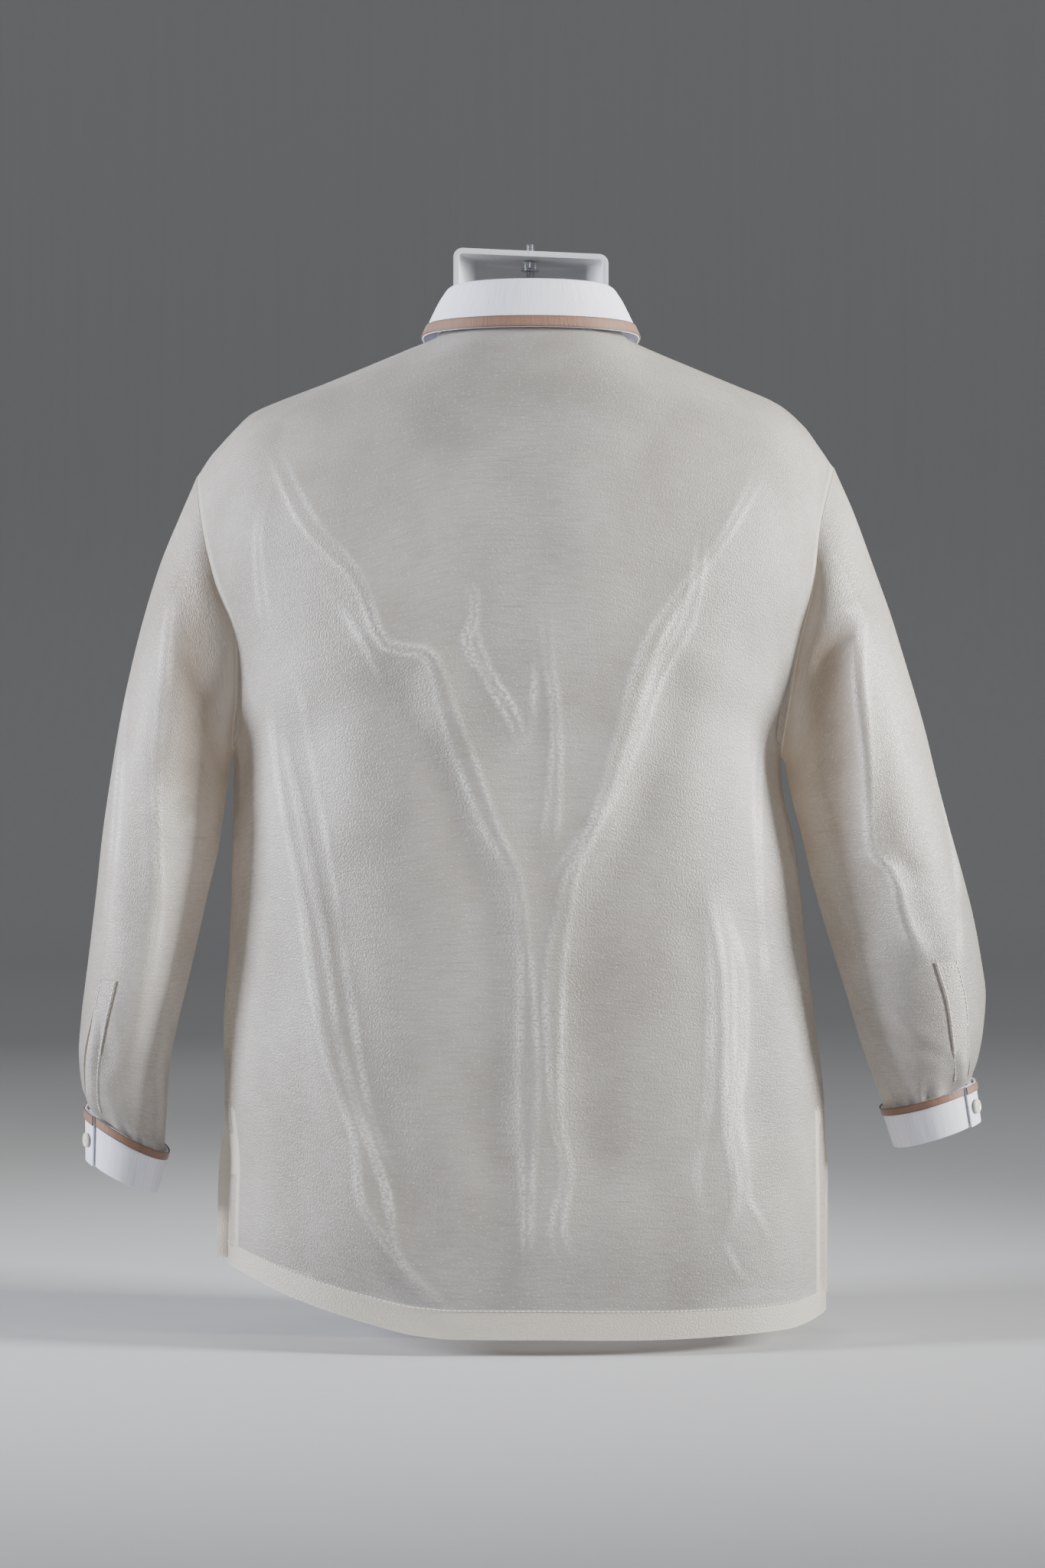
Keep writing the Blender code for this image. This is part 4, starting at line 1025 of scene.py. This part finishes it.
def woven_band(name):
    """Brown polyester ribbon, woven with a fine cross rib and folded at both edges."""
    # It gives the eye a dull satin brown with fine ribs across and a darker line at each edge.
    # Real ribs lie 0.5 mm apart, so they are drawn 1.2 mm wide.
    colours = bpy.context.scene.barong_colours
    material, tree, shader = new_material(name)
    place = add_node(tree, "UVMap", uv_map="Cut").outputs[0]
    rib = noise_share(tree, place, (0.0012, 0.012), 0.3, 0.7)
    edge = add_node(tree, "Attribute", attribute_name="edge").outputs["Fac"]
    ground = mixed(tree, edge, rgba(colours.band), rgba(colours.band_edge))
    scaled = add_node(tree, "Math", {0: rib, 1: 0.25}, operation="MULTIPLY").outputs[0]
    ground = mixed(tree, scaled, ground, rgba(colours.band_edge))
    bump = add_node(tree, "Bump", {"Strength": 0.3, "Distance": 0.0003, "Height": rib})
    for socket, value in (("Roughness", 0.55), ("Sheen Weight", 0.2)):
        shader.inputs[socket].default_value = value
    tree.links.new(ground, shader.inputs["Base Color"])
    tree.links.new(bump.outputs[0], shader.inputs["Normal"])
    return material


def spun_thread(name):
    """Ivory polyester sewing thread, spun and waxed."""
    # It gives the eye small pale glossy dashes.
    material, tree, shader = new_material(name)
    place = add_node(tree, "TexCoord").outputs["Object"]
    twist = noise_share(tree, place, (0.0008, 0.0008), 0.3, 0.7)
    colours = bpy.context.scene.barong_colours
    # The thread's own pale colour is the same white as the painted glints
    ground = mixed(tree, twist, rgba(colours.glint), rgba(colours.jusi))
    tree.links.new(ground, shader.inputs["Base Color"])
    shader.inputs["Roughness"].default_value = 0.45
    return material


def moulded_plastic(name):
    """ABS, vacuum moulded over a form and trimmed."""
    # It gives the eye an even pale grey with a soft sheen and a faint orange-peel grain.
    colours = bpy.context.scene.barong_colours
    material, tree, shader = new_material(name)
    place = add_node(tree, "TexCoord").outputs["Object"]
    cloudy = noise_share(tree, place, (0.09, 0.09), 0.3, 0.7)
    peel = noise_share(tree, place, (0.0024, 0.0024), 0.3, 0.7)
    darker = [0.93 * part for part in colours.plastic]
    ground = mixed(tree, cloudy, rgba(colours.plastic), rgba(darker))
    bump = add_node(tree, "Bump", {"Strength": 0.12, "Distance": 0.0004, "Height": peel})
    tree.links.new(ground, shader.inputs["Base Color"])
    tree.links.new(bump.outputs[0], shader.inputs["Normal"])
    shader.inputs["Roughness"].default_value = 0.42
    return material


def plated_steel(name):
    """Mild steel, rolled and zinc plated."""
    # It gives the eye bright cool highlights and dark blue-grey reflections, with fine rolling marks.
    colours = bpy.context.scene.barong_colours
    material, tree, shader = new_material(name)
    place = add_node(tree, "TexCoord").outputs["Object"]
    marks = noise_share(tree, place, (0.004, 0.0006), 0.3, 0.7)
    rough = add_node(tree, "MapRange", {0: marks, 3: 0.16, 4: 0.34}).outputs[0]
    darker = [0.72 * part for part in colours.steel]
    ground = mixed(tree, marks, rgba(colours.steel), rgba(darker))
    tree.links.new(ground, shader.inputs["Base Color"])
    tree.links.new(rough, shader.inputs["Roughness"])
    shader.inputs["Metallic"].default_value = 1.0
    return material


def cut_shell(name):
    """Trochus shell, sawn into blanks, drilled and polished."""
    # It gives the eye a creamy pearl gloss with pale clouds.
    colours = bpy.context.scene.barong_colours
    material, tree, shader = new_material(name)
    place = add_node(tree, "TexCoord").outputs["Object"]
    cloudy = noise_share(tree, place, (0.003, 0.006), 0.35, 0.65)
    ground = mixed(tree, cloudy, rgba(colours.shell), rgba([0.8 * part for part in colours.shell]))
    tree.links.new(ground, shader.inputs["Base Color"])
    shader.inputs["Roughness"].default_value = 0.22
    shader.inputs["Coat Weight"].default_value = 0.3
    return material


def matt_paper(name):
    """Photographer's background paper, calendered matt."""
    # It gives the eye an even pale ground with no gloss.
    colours = bpy.context.scene.barong_colours
    material, tree, shader = new_material(name)
    place = add_node(tree, "TexCoord").outputs["Object"]
    fibre = noise_share(tree, place, (0.02, 0.02), 0.3, 0.7)
    ground = mixed(tree, fibre, rgba(colours.floor), rgba([0.985 * part for part in colours.floor]))
    tree.links.new(ground, shader.inputs["Base Color"])
    shader.inputs["Roughness"].default_value = 0.95
    return material


FINISHES = {
    "jusi_organza_woven": woven_jusi,
    "white_linen_woven": woven_linen,
    "brown_ribbon_woven": woven_band,
    "polyester_thread_spun": spun_thread,
    "abs_plastic_moulded": moulded_plastic,
    "steel_zinc_plated": plated_steel,
    "trochus_shell_polished": cut_shell,
    "background_paper_matt": matt_paper,
}


def finish(name):
    """The material of that name, made when first asked for."""
    return bpy.data.materials.get(name) or FINISHES[name](name)


def link_piece(name, mesh, look, nodes=()):
    """Puts a mesh in the scene as a piece that rides on the part and stands for the named nodes."""
    piece = bpy.data.objects.new(name, mesh)
    bpy.context.scene.collection.objects.link(piece)
    mesh.materials.clear()
    mesh.materials.append(finish(look))
    mesh.shade_smooth()
    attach(piece, "root")
    if nodes:
        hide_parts(*nodes)
    return piece


def relaxed(points, order, rows, rounds):
    """The same points with their kinks eased and their edges kept, as a stiff cloth bends."""
    grid = points[order].reshape(rows, -1, 3)
    for _ in range(rounds):
        grid[1:-1, 1:-1] = (grid[:-2, 1:-1] + grid[2:, 1:-1] + grid[1:-1, :-2] + grid[1:-1, 2:]) / 4
    eased_points = np.empty_like(points)
    eased_points[order] = grid.reshape(-1, 3)
    return eased_points


def lay_sheet(
    name, sheet, cut, look, slot, nodes=(), wall=0.0, spacing=None, weld=False, marks=None, rim=0.0, ease=0.0
):
    """A cloth laid on a sheet of points; cut is its width and length in metres before sewing."""
    spacing = spacing or bpy.context.scene.barong_sizes.spacing
    across, along = (max(int(round(length / spacing)), 2) for length in cut)
    mesh = bpy.data.meshes.new(name)
    grid = bmesh.new()
    bmesh.ops.create_grid(grid, x_segments=across, y_segments=along, size=1)
    grid.to_mesh(mesh)
    grid.free()
    flat = np.empty(len(mesh.vertices) * 3, np.float32)
    mesh.vertices.foreach_get("co", flat)
    a, b = ((flat.reshape(-1, 3)[:, k].astype(float) + 1) / 2 for k in (0, 1))
    a, b = np.clip(a, 0, 1), np.clip(b, 0, 1)
    points = (sheet(a, b) + MIDDLE) * MM
    if ease:
        plain = (sheet(a, b, 0) + MIDDLE) * MM
        rounds = int(2 * (ease / spacing) ** 2)
        points += relaxed(plain, np.lexsort((a, b)), along + 1, rounds) - plain
    mesh.vertices.foreach_set("co", points.astype(np.float32).ravel())
    corners = np.empty(len(mesh.loops), np.int32)
    mesh.loops.foreach_get("vertex_index", corners)
    uv = mesh.uv_layers.new(name="Cut")
    laid = np.stack((a * cut[0], b * cut[1]), axis=-1)[corners]
    uv.data.foreach_set("uv", laid.astype(np.float32).ravel())
    for mark, values in (marks(a, b, points) if marks else {}).items():
        mesh.attributes.new(mark, "FLOAT", "POINT").data.foreach_set("value", values.astype(np.float32))
    if weld:
        joined = bmesh.new()
        joined.from_mesh(mesh)
        bmesh.ops.remove_doubles(joined, verts=joined.verts, dist=2e-5)
        joined.to_mesh(mesh)
        joined.free()
    mesh.update()
    piece = link_piece(name, mesh, look, nodes)
    if wall:
        shell = piece.modifiers.new("Cloth wall", "SOLIDIFY")
        shell.thickness = wall * MM
        shell.offset = 0
        if rim:
            rounded = piece.modifiers.new("Rounded edge", "BEVEL")
            rounded.width = rim * MM
            rounded.segments = 2
            rounded.angle_limit = math.radians(50)
    return piece


def vent_facing(sheet, side, edge):
    """The turned edge of a front beside its vent, pressed so that it faces the back."""

    def at(a, b):
        place = sheet(edge + 0 * a, b)
        return place + points_of(-SIGN[side] * VENT_HEM * a, 0.8 * np.sin(math.pi * a), 0 * a)

    return at


def panel_marks(creases, hem, vents):
    """How strongly a painted glint brightens a panel, where its hem, vents and armhole seams are doubled, and
    its painted shade.
    """

    def at(a, b, points):
        x, z = points[:, 0] / MM - MIDDLE[0], points[:, 2] / MM - MIDDLE[2]
        doubled = b < hem
        for low, high in vents:
            doubled = doubled | ((a >= low) & (a <= high) & (z < VENT_TOP))
        seam = (np.abs(2 * a - 1) > SEAM_MARK_FROM) & (z > ARMPIT) & (points[:, 1] > 0)
        doubled = np.maximum(doubled, SEAM_MARK * seam)
        shade = eased((SHADE_FROM - z) / SHADE_OVER) * HEM_SHADE
        shade = np.clip(shade + fold_height(SHADES, x, z) * (points[:, 1] > 0), 0, 1)
        return {"glint": crease_lines(creases, x, z)[1], "doubled": doubled * 1.0, "shade": shade}

    return at


def all_doubled(a, _b, _points):
    return {"doubled": np.ones_like(a)}


# Painted glints on a sleeve's creases, painted tan shade in its fold troughs, and painted shade towards its
# lower end
def sleeve_painted_light(side):
    def at(_a, _b, points):
        x, z = SIGN[side] * (points[:, 0] / MM - MIDDLE[0]), points[:, 2] / MM
        behind = points[:, 1] / MM - MIDDLE[1] > 8
        # Painted tan shade in the sleeve's fold troughs, deeper where the folds are deeper, fading out towards
        # the cuff
        hollow = np.clip(-fold_height(SLEEVE_FOLDS[side], x, z) / 12, 0, 1) * eased((z - 290) / 160)
        # Painted shade that grows towards the sleeve's lower end and cuff
        empty = eased((SLEEVE_SHADE[side] - z) / 200) * 0.8
        glint = crease_lines(SLEEVE_CREASES[side], x, z)[1] * behind
        return {"glint": glint, "layered": hollow, "shade": empty}

    return at


def dark_edges(_a, b, _points):
    return {"edge": np.clip(np.abs(2 * b - 1) * 3 - 2, 0, 1)}


def sew(name, sheet, path, length, out=0.35):
    """A row of stitches on a sheet; path gives a and b for shares of the row's length in metres."""
    sizes = bpy.context.scene.barong_sizes
    count = max(int(length / sizes.stitch), 2)
    uneven = np.random.default_rng(bpy.context.scene.barong_stage.seed + count)
    shares = (np.arange(count) + 0.5 + uneven.uniform(-0.06, 0.06, count)) / count
    raised = moved_out(sheet, out)
    half = 0.34 / count
    starts = (raised(*path(np.clip(shares - half, 0, 1))) + MIDDLE) * MM
    stops = (raised(*path(np.clip(shares + half, 0, 1))) + MIDDLE) * MM
    mesh = bpy.data.meshes.new(name)
    row = bmesh.new()
    for start, stop in zip(starts, stops):
        run = Vector(stop - start)
        if run.length < 1e-5:
            continue
        size = Matrix.Diagonal((sizes.thread, sizes.thread, run.length, 1))
        turn = run.to_track_quat("Z", "Y").to_matrix().to_4x4()
        place = Matrix.Translation(Vector((start + stop) / 2))
        bmesh.ops.create_cube(row, size=1, matrix=place @ turn @ size)
    row.to_mesh(mesh)
    row.free()
    return link_piece(name, mesh, "polyester_thread_spun")


def turned(name, profile, middle, look, slot, nodes=(), sides=32, axis=Vector((0, 0, 1)), shape=None):
    """A piece turned about an axis from a closed profile of radius and height, in millimetres."""
    mesh = bpy.data.meshes.new(name)
    solid = bmesh.new()
    rings = []
    for turn in np.arange(sides) / sides * 2 * math.pi:
        rings.append([])
        for radius, height in profile:
            reach = radius * (shape(turn, radius, height) if shape else 1.0)
            place = (reach * math.cos(turn) * MM, reach * math.sin(turn) * MM, height * MM)
            rings[-1].append(solid.verts.new(place))
    for ring, following in zip(rings, rings[1:] + rings[:1]):
        for i in range(len(profile)):
            j = (i + 1) % len(profile)
            solid.faces.new((ring[i], following[i], following[j], ring[j]))
    bmesh.ops.remove_doubles(solid, verts=solid.verts, dist=1e-6)
    bmesh.ops.recalc_face_normals(solid, faces=solid.faces)
    turned_to = Vector((0, 0, 1)).rotation_difference(axis).to_matrix().to_4x4()
    bmesh.ops.transform(solid, verts=solid.verts, matrix=Matrix.Translation(middle) @ turned_to)
    solid.to_mesh(mesh)
    solid.free()
    piece = link_piece(name, mesh, look, nodes)
    mesh.set_sharp_from_angle(angle=math.radians(35))
    return piece


def middle_of(node):
    low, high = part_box(node)
    return (Vector(low) + Vector(high)) / 2


BUTTON_PROFILE = (
    (0, -1.0), (4.6, -1.0), (5.4, -0.4), (5.4, 0.4), (4.9, 1.0), (4.1, 1.05), (3.3, 0.55), (0, 0.5),
)


def add_button(node, axis):
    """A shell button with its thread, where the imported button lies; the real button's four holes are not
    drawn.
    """
    middle = middle_of(node)
    turned(node + "_shell", BUTTON_PROFILE, middle, "trochus_shell_polished", "button", (node,), 36, axis)
    turn = Vector((0, 0, 1)).rotation_difference(axis).to_matrix().to_4x4()
    mesh = bpy.data.meshes.new(node + "_thread")
    cross = bmesh.new()
    for x in (-0.9, 0.9):
        size = Matrix.Diagonal((0.6 * MM, 2.6 * MM, 0.5 * MM, 1))
        place = Matrix.Translation(middle) @ turn @ Matrix.Translation((x * MM, 0, 0.75 * MM)) @ size
        bmesh.ops.create_cube(cross, size=1, matrix=place)
    cross.to_mesh(mesh)
    cross.free()
    link_piece(node + "_thread", mesh, "polyester_thread_spun")


def normal_at(sheet, a, b, step=0.004):
    a, b = np.array([a]), np.array([b])
    across = sheet(a + step, b) - sheet(a - step, b)
    return Vector(np.cross(across, sheet(a, b + step) - sheet(a, b - step))[0]).normalized()


JUSI = ("jusi_organza_woven", "ivory_cloth")
LINEN = ("white_linen_woven", "white_cloth")
TURNED_UNDER = 0.075
TURN_IN_CUT = (0.012, 0.14)
SEAM_CUT = (0.012, 0.24)
SEAM_ROWS = (0.44, 0.90)
STITCHES_IN = -0.35
VENT_TURN = 0.09
STIFF_BEND = 0.013
BACK_CUT = (0.56, 0.76)
FRONT_CUT = (0.31, 0.74)
SLEEVE_CUT = (0.36, 0.50)
CUFF_CUT = (0.245, 0.044)
COLLAR_CUT = (0.42, 0.062)


def along_row(start, b):
    """A row of stitches across a sheet, as far from both its edges."""
    return lambda t: (start + (1 - 2 * start) * t, b + 0 * t)


def down_column(a):
    return lambda t: (a + 0 * t, 0.01 + 0.97 * t)


class BARONG_OT_back(bpy.types.Operator):
    """Lay the back with its turned hem, vent edges, armhole seams and stitches"""

    bl_idname = "barong.back"
    bl_label = "Back"

    def execute(self, context):
        sizes = context.scene.barong_sizes
        spacing = sizes.spacing
        hem = sizes.hem / BACK_CUT[1] * 0.8
        marks = panel_marks(BACK_CREASES, hem, ((0, VENT_TURN), (1 - VENT_TURN, 1)))
        FINE.update(folds=sizes.fold_share, sleeves=sizes.sleeve_share)
        FINE.update(creases=sizes.crease_share, ripple=sizes.ripple / MM)
        back = lay_sheet(
            "back_panel", back_sheet, BACK_CUT, *JUSI, ("back",), marks=marks,
            ease=STIFF_BEND,
        )
        inside = moved_out(back_sheet, 0.5)
        lining = part_of(inside, 0, 1, 0.0006, hem)
        pieces = [
            lay_sheet("back_hem", lining, (BACK_CUT[0], sizes.hem), *JUSI, spacing=spacing * 1.5),
            sew("back_hem_stitches", back_sheet, along_row(0.02, hem), BACK_CUT[0], STITCHES_IN),
        ]
        for side, edge in (("left", 1.0), ("right", 0.0)):
            facing = -1 if side == "left" else 1
            vent_b = VENT_TOP / 640 * ROLL_ROWS_FROM / ROLL_START
            seam = part_of(inside, edge + facing * TURNED_UNDER, edge, *SEAM_ROWS)
            turn_in = part_of(inside, edge + facing * TURNED_UNDER, edge, 0.001, vent_b)
            pieces.append(lay_sheet(f"back_armhole_seam_{side}", seam, SEAM_CUT, *JUSI))
            pieces.append(lay_sheet(f"back_vent_hem_{side}", turn_in, TURN_IN_CUT, *JUSI))
        return {"FINISHED"}


class BARONG_OT_fronts(bpy.types.Operator):
    """Lay the two fronts with their hems and stitches"""

    bl_idname = "barong.fronts"
    bl_label = "Fronts"

    def execute(self, context):
        sizes = context.scene.barong_sizes
        for side in ("left", "right"):
            sheet = front_sheet(side)
            hem = sizes.hem / FRONT_CUT[1] * 0.8
            vent = (0.86, 1) if side == "left" else (0, 0.14)
            front = lay_sheet(
                f"front_panel_{side}", sheet, FRONT_CUT, *JUSI, (f"front_{side}",),
                spacing=sizes.spacing * 1.1, marks=panel_marks(FRONT_CREASES, hem, (vent,)), ease=STIFF_BEND,
            )
            lining = part_of(moved_out(sheet, -0.5), 0, 1, 0.0006, hem)
            pieces = [
                lay_sheet(
                    f"front_hem_{side}", lining, (FRONT_CUT[0], sizes.hem), *JUSI,
                    spacing=sizes.spacing * 1.5,
                ),
                sew(f"front_hem_stitches_{side}", sheet, along_row(0.03, hem), FRONT_CUT[0]),
            ]
            vent_b = VENT_TOP / 640 * ROLL_ROWS_FROM / ROLL_START
            edge = 1.0 if side == "left" else 0.0
            turn_in = part_of(vent_facing(sheet, side, edge), 0, 1, 0.001, vent_b)
            pieces.append(
                lay_sheet(
                    f"front_vent_hem_{side}", turn_in, (0.012, 0.14), *JUSI,
                    marks=all_doubled,
                )
            )
        return {"FINISHED"}


class BARONG_OT_front_band(bpy.types.Operator):
    """Lay the front band and its buttons"""

    bl_idname = "barong.front_band"
    bl_label = "Front band"

    def execute(self, context):
        cut = (BAND_WIDTH * MM, 0.72)
        band = lay_sheet(
            "band_strip", band_sheet, cut, *JUSI, ("front_band",), wall=0.7, rim=0.2
        )
        pieces = [
            sew(f"band_stitches_{number}", band_sheet, down_column(at), cut[1], 0.7)
            for number, at in enumerate((0.07, 0.93), 1)
        ]
        for number, height in enumerate(FRONT_BUTTONS, 1):
            add_button(f"front_button_{number}", normal_at(band_sheet, 0.5, height))
        return {"FINISHED"}


class BARONG_OT_collar(bpy.types.Operator):
    """Lay the collar's stand, its turned-down fall and the brown band on its edge"""

    bl_idname = "barong.collar"
    bl_label = "Collar"

    def execute(self, context):
        stand_cut = (0.40, 0.03)
        stand = lay_sheet("stand_cloth", STAND, stand_cut, *LINEN, ("collar_stand",), 0.9)
        fall = part_of(FOLDED_FALL, 0, 1, -0.2, 1)
        fall_piece = lay_sheet(
            "fall_cloth", fall, COLLAR_CUT, *LINEN, ("collar_fall",), 1.0, rim=0.3
        )
        trim = part_of(moved_out(FALL, 1.2), 0, 1, COLLAR_TRIM_FROM, 1)
        trim_cut = (0.46, 0.01)
        band = lay_sheet(
            "collar_band", trim, trim_cut, "brown_ribbon_woven", "brown_band", ("collar_trim",), 0.8, 0.0012,
            marks=dark_edges, rim=0.25,
        )
        return {"FINISHED"}


class BARONG_OT_sleeves(bpy.types.Operator):
    """Lay the sleeves, open at their slits, and the stitched plackets beside them"""

    bl_idname = "barong.sleeves"
    bl_label = "Sleeves"

    def execute(self, context):
        sizes = context.scene.barong_sizes
        for side in ("left", "right"):
            sleeve = lay_sheet(
                f"sleeve_cloth_{side}", slit_sheet(side), SLEEVE_CUT, *JUSI,
                (f"sleeve_{side}",), spacing=sizes.spacing * 0.9, weld=True, marks=sleeve_painted_light(side),
            )
            strip = placket_sheet(side)
            cut = (0.018, 0.10)
            placket = lay_sheet(
                f"placket_strip_{side}", strip, cut, *JUSI,
                (f"sleeve_placket_{side}",), 0.5, 0.0012,
            )
            lines = {
                "edge_a": lambda t: (0.08 + 0 * t, t),
                "edge_b": lambda t: (0.92 + 0 * t, t),
                "head": lambda t: (0.08 + 0.84 * t, 0.96 + 0 * t),
                "box": lambda t: (0.08 + 0.84 * t, 0.52 + 0 * t),
            }
            out = SIGN[side] * 0.45
            rows = [
                sew(f"placket_{line}_{side}", strip, path, cut[1] if "edge" in line else cut[0], out)
                for line, path in lines.items()
            ]
        return {"FINISHED"}


class BARONG_OT_cuffs(bpy.types.Operator):
    """Lay the cuffs with their brown bands and buttons"""

    bl_idname = "barong.cuffs"
    bl_label = "Cuffs"

    def execute(self, context):
        for side in ("left", "right"):
            cuff = cuff_sheet(side)
            cloth = lay_sheet(
                f"cuff_cloth_{side}", cuff, CUFF_CUT, *LINEN, (f"cuff_{side}",),
                1.3, rim=0.35,
            )
            trim = part_of(cuff_sheet(side, 1.4), 0.06, 1, 0, CUFF_TRIM_SHARE)
            cut = (CUFF_CUT[0] * 0.95, 0.01)
            band = lay_sheet(
                f"cuff_band_{side}", trim, cut, "brown_ribbon_woven", "brown_band", (f"cuff_trim_{side}",),
                0.8, 0.0012, marks=dark_edges, rim=0.25,
            )
            out = normal_at(cuff, CUFF_BUTTON_AT, CUFF_BUTTON_DROP)
            add_button(f"cuff_button_{side}", out if side == "right" else -out)
        return {"FINISHED"}


class BARONG_OT_form(bpy.types.Operator):
    """Mould the hollow-back torso form with its capped neck"""

    bl_idname = "barong.form"
    bl_label = "Torso form"

    def execute(self, context):
        lay_sheet(
            "form_shell", form_sheet, (0.55, 0.90), "abs_plastic_moulded", "form_plastic", ("torso_form",),
            FORM_WALL, 0.005, rim=1.2,
        )
        return {"FINISHED"}


class BARONG_OT_hardware(bpy.types.Operator):
    """Turn the threaded rod, and form its hex nut and washer"""

    bl_idname = "barong.hardware"
    bl_label = "Rod, nut and washer"

    def execute(self, context):
        middle = middle_of("rod")
        low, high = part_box("rod")
        half = (high[2] - low[2]) / 2 / MM
        radius = (high[0] - low[0]) / 2 / MM
        places = np.arange(-half + 0.6, half - 0.6, THREAD_PITCH / 4)
        core = radius - THREAD_END
        profile = [(0, -half), (core, -half), *((radius, z) for z in places), (core, half), (0, half)]

        def thread(turn, reach, height):
            if reach < radius or abs(height) > half - 0.4:
                return 1.0
            wave = abs(2 * ((height / THREAD_PITCH + turn / 2 / math.pi) % 1.0) - 1)
            return 1 - THREAD_DEPTH * wave / radius

        turned("rod_thread", profile, middle, "steel_zinc_plated", "steel", ("rod",), 24, shape=thread)
        middle = middle_of("nut")
        low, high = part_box("nut")
        half = (high[2] - low[2]) / 2 / MM
        corner = 10 / math.sqrt(3)
        flat = corner * math.cos(math.pi / 6)

        def hexagon(turn, reach, height):
            if reach < 4:
                return 1.0
            away = (turn + math.pi / 6) % (math.pi / 3) - math.pi / 6
            side = flat / math.cos(away) / corner
            return min(side, 1 - NUT_CHAMFER / corner) if abs(height) > half - 0.1 else side

        heights = (-half, -half + 0.5, half - 0.5, half)
        profile = ((HOLE, -half), *((corner, z) for z in heights), (HOLE, half))
        turned("nut_hex", profile, middle, "steel_zinc_plated", "steel", ("nut",), 72, shape=hexagon)
        middle = middle_of("washer")
        low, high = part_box("washer")
        half, edge = (high[2] - low[2]) / 2 / MM, (high[0] - low[0]) / 2 / MM
        rim = ((edge - 0.3, -half), (edge, -half + 0.3), (edge, half - 0.3), (edge - 0.3, half))
        profile = ((HOLE, -half), *rim, (HOLE, half))
        turned("washer_ring", profile, middle, "steel_zinc_plated", "steel", ("washer",), 48)
        return {"FINISHED"}


def add_light(name, place, target, size, power, tint, spread):
    lamp = bpy.data.lights.new(name, "AREA")
    lamp.spread = math.radians(spread)
    lamp.energy = power
    lamp.color = linear(tint)
    lamp.shape = "RECTANGLE"
    lamp.size, lamp.size_y = size
    light = bpy.data.objects.new(name, lamp)
    bpy.context.scene.collection.objects.link(light)
    light.location = place
    light.rotation_euler = (Vector(target) - Vector(place)).to_track_quat("-Z", "Y").to_euler()


class BARONG_OT_stage(bpy.types.Operator):
    """Set the pale floor, the soft lights and the camera"""

    bl_idname = "barong.stage"
    bl_label = "Stage"

    def execute(self, context):
        stage = context.scene.barong_stage
        reach, straight, bend = 9.0, 14.0, 1.2
        mesh = bpy.data.meshes.new("floor_paper")
        grid = bmesh.new()
        bmesh.ops.create_grid(grid, x_segments=2, y_segments=96, size=reach)
        for corner in grid.verts:
            run = reach - corner.co.y
            turn = min(max((run - straight) / bend, 0), math.pi / 2)
            if run > straight:
                up = max(run - straight - bend * math.pi / 2, 0)
                corner.co.y = reach - straight - bend * math.sin(turn)
                corner.co.z = bend * (1 - math.cos(turn)) + up
        grid.to_mesh(mesh)
        grid.free()
        mesh.materials.append(finish("background_paper_matt"))
        mesh.shade_smooth()
        floor = bpy.data.objects.new("floor_paper", mesh)
        context.scene.collection.objects.link(floor)
        chest = (0, 0, 0.6)
        add_light("right_light", (-2.5, 0.62, 1.0), (0, 0, 0.64), (0.5, 0.7), stage.key * 0.54, "FFFEFC", 48)
        add_light("left_light", (2.5, 0.66, 0.95), (0, 0, 0.66), (0.5, 0.7), stage.key * 0.50, "F3F5FF", 58)
        add_light("top_light", (0.0, -0.6, 2.7), chest, (1.6, 1.0), stage.side * 0.4, "FFFFFF", 180)
        add_light("front_light", (0.6, -2.0, 1.6), chest, (2.0, 1.4), stage.side, "FFFFFF", 180)
        world = context.scene.world or bpy.data.worlds.new("Room")
        context.scene.world = world
        world.use_nodes = True
        world.node_tree.nodes["Background"].inputs["Color"].default_value = (1, 1, 1, 1)
        world.node_tree.nodes["Background"].inputs["Strength"].default_value = stage.world
        lens = bpy.data.cameras.new("camera")
        lens.sensor_fit = "VERTICAL"
        lens.sensor_height = 36
        lens.lens = stage.lens
        camera = bpy.data.objects.new("camera", lens)
        context.scene.collection.objects.link(camera)
        camera.location = (stage.camera_x, stage.distance + MIDDLE[1] * MM, stage.camera_z)
        camera.rotation_euler = (math.pi / 2, 0, math.pi)
        context.scene.camera = camera
        return {"FINISHED"}


class BARONG_PT_panel(bpy.types.Panel):
    """Lists the pieces in the order they are made"""

    bl_idname = "BARONG_PT_panel"
    bl_label = "Barong tagalog"
    bl_space_type = "VIEW_3D"
    bl_region_type = "UI"
    bl_category = "Barong"

    def draw(self, context):
        for operator in OPERATORS:
            self.layout.operator(operator.bl_idname)
        for group in (context.scene.barong_sizes, context.scene.barong_colours, context.scene.barong_stage):
            box = self.layout.box()
            for name in group.bl_rna.properties.keys():
                if name not in ("rna_type", "name"):
                    box.prop(group, name)


GROUPS = {"barong_sizes": BarongSizes, "barong_colours": BarongColours, "barong_stage": BarongStage}
OPERATORS = (
    BARONG_OT_form,
    BARONG_OT_hardware,
    BARONG_OT_back,
    BARONG_OT_fronts,
    BARONG_OT_front_band,
    BARONG_OT_collar,
    BARONG_OT_sleeves,
    BARONG_OT_cuffs,
    BARONG_OT_stage,
)


def register():
    for made in (*GROUPS.values(), *OPERATORS, BARONG_PT_panel):
        bpy.utils.register_class(made)
    for name, group in GROUPS.items():
        setattr(bpy.types.Scene, name, PointerProperty(type=group))


def unregister():
    for name in GROUPS:
        delattr(bpy.types.Scene, name)
    for made in reversed((*GROUPS.values(), *OPERATORS, BARONG_PT_panel)):
        bpy.utils.unregister_class(made)


def main():
    register()
    for operator in OPERATORS:
        group, name = operator.bl_idname.split(".")
        getattr(getattr(bpy.ops, group), name)()


if __name__ == "__main__":
    main()
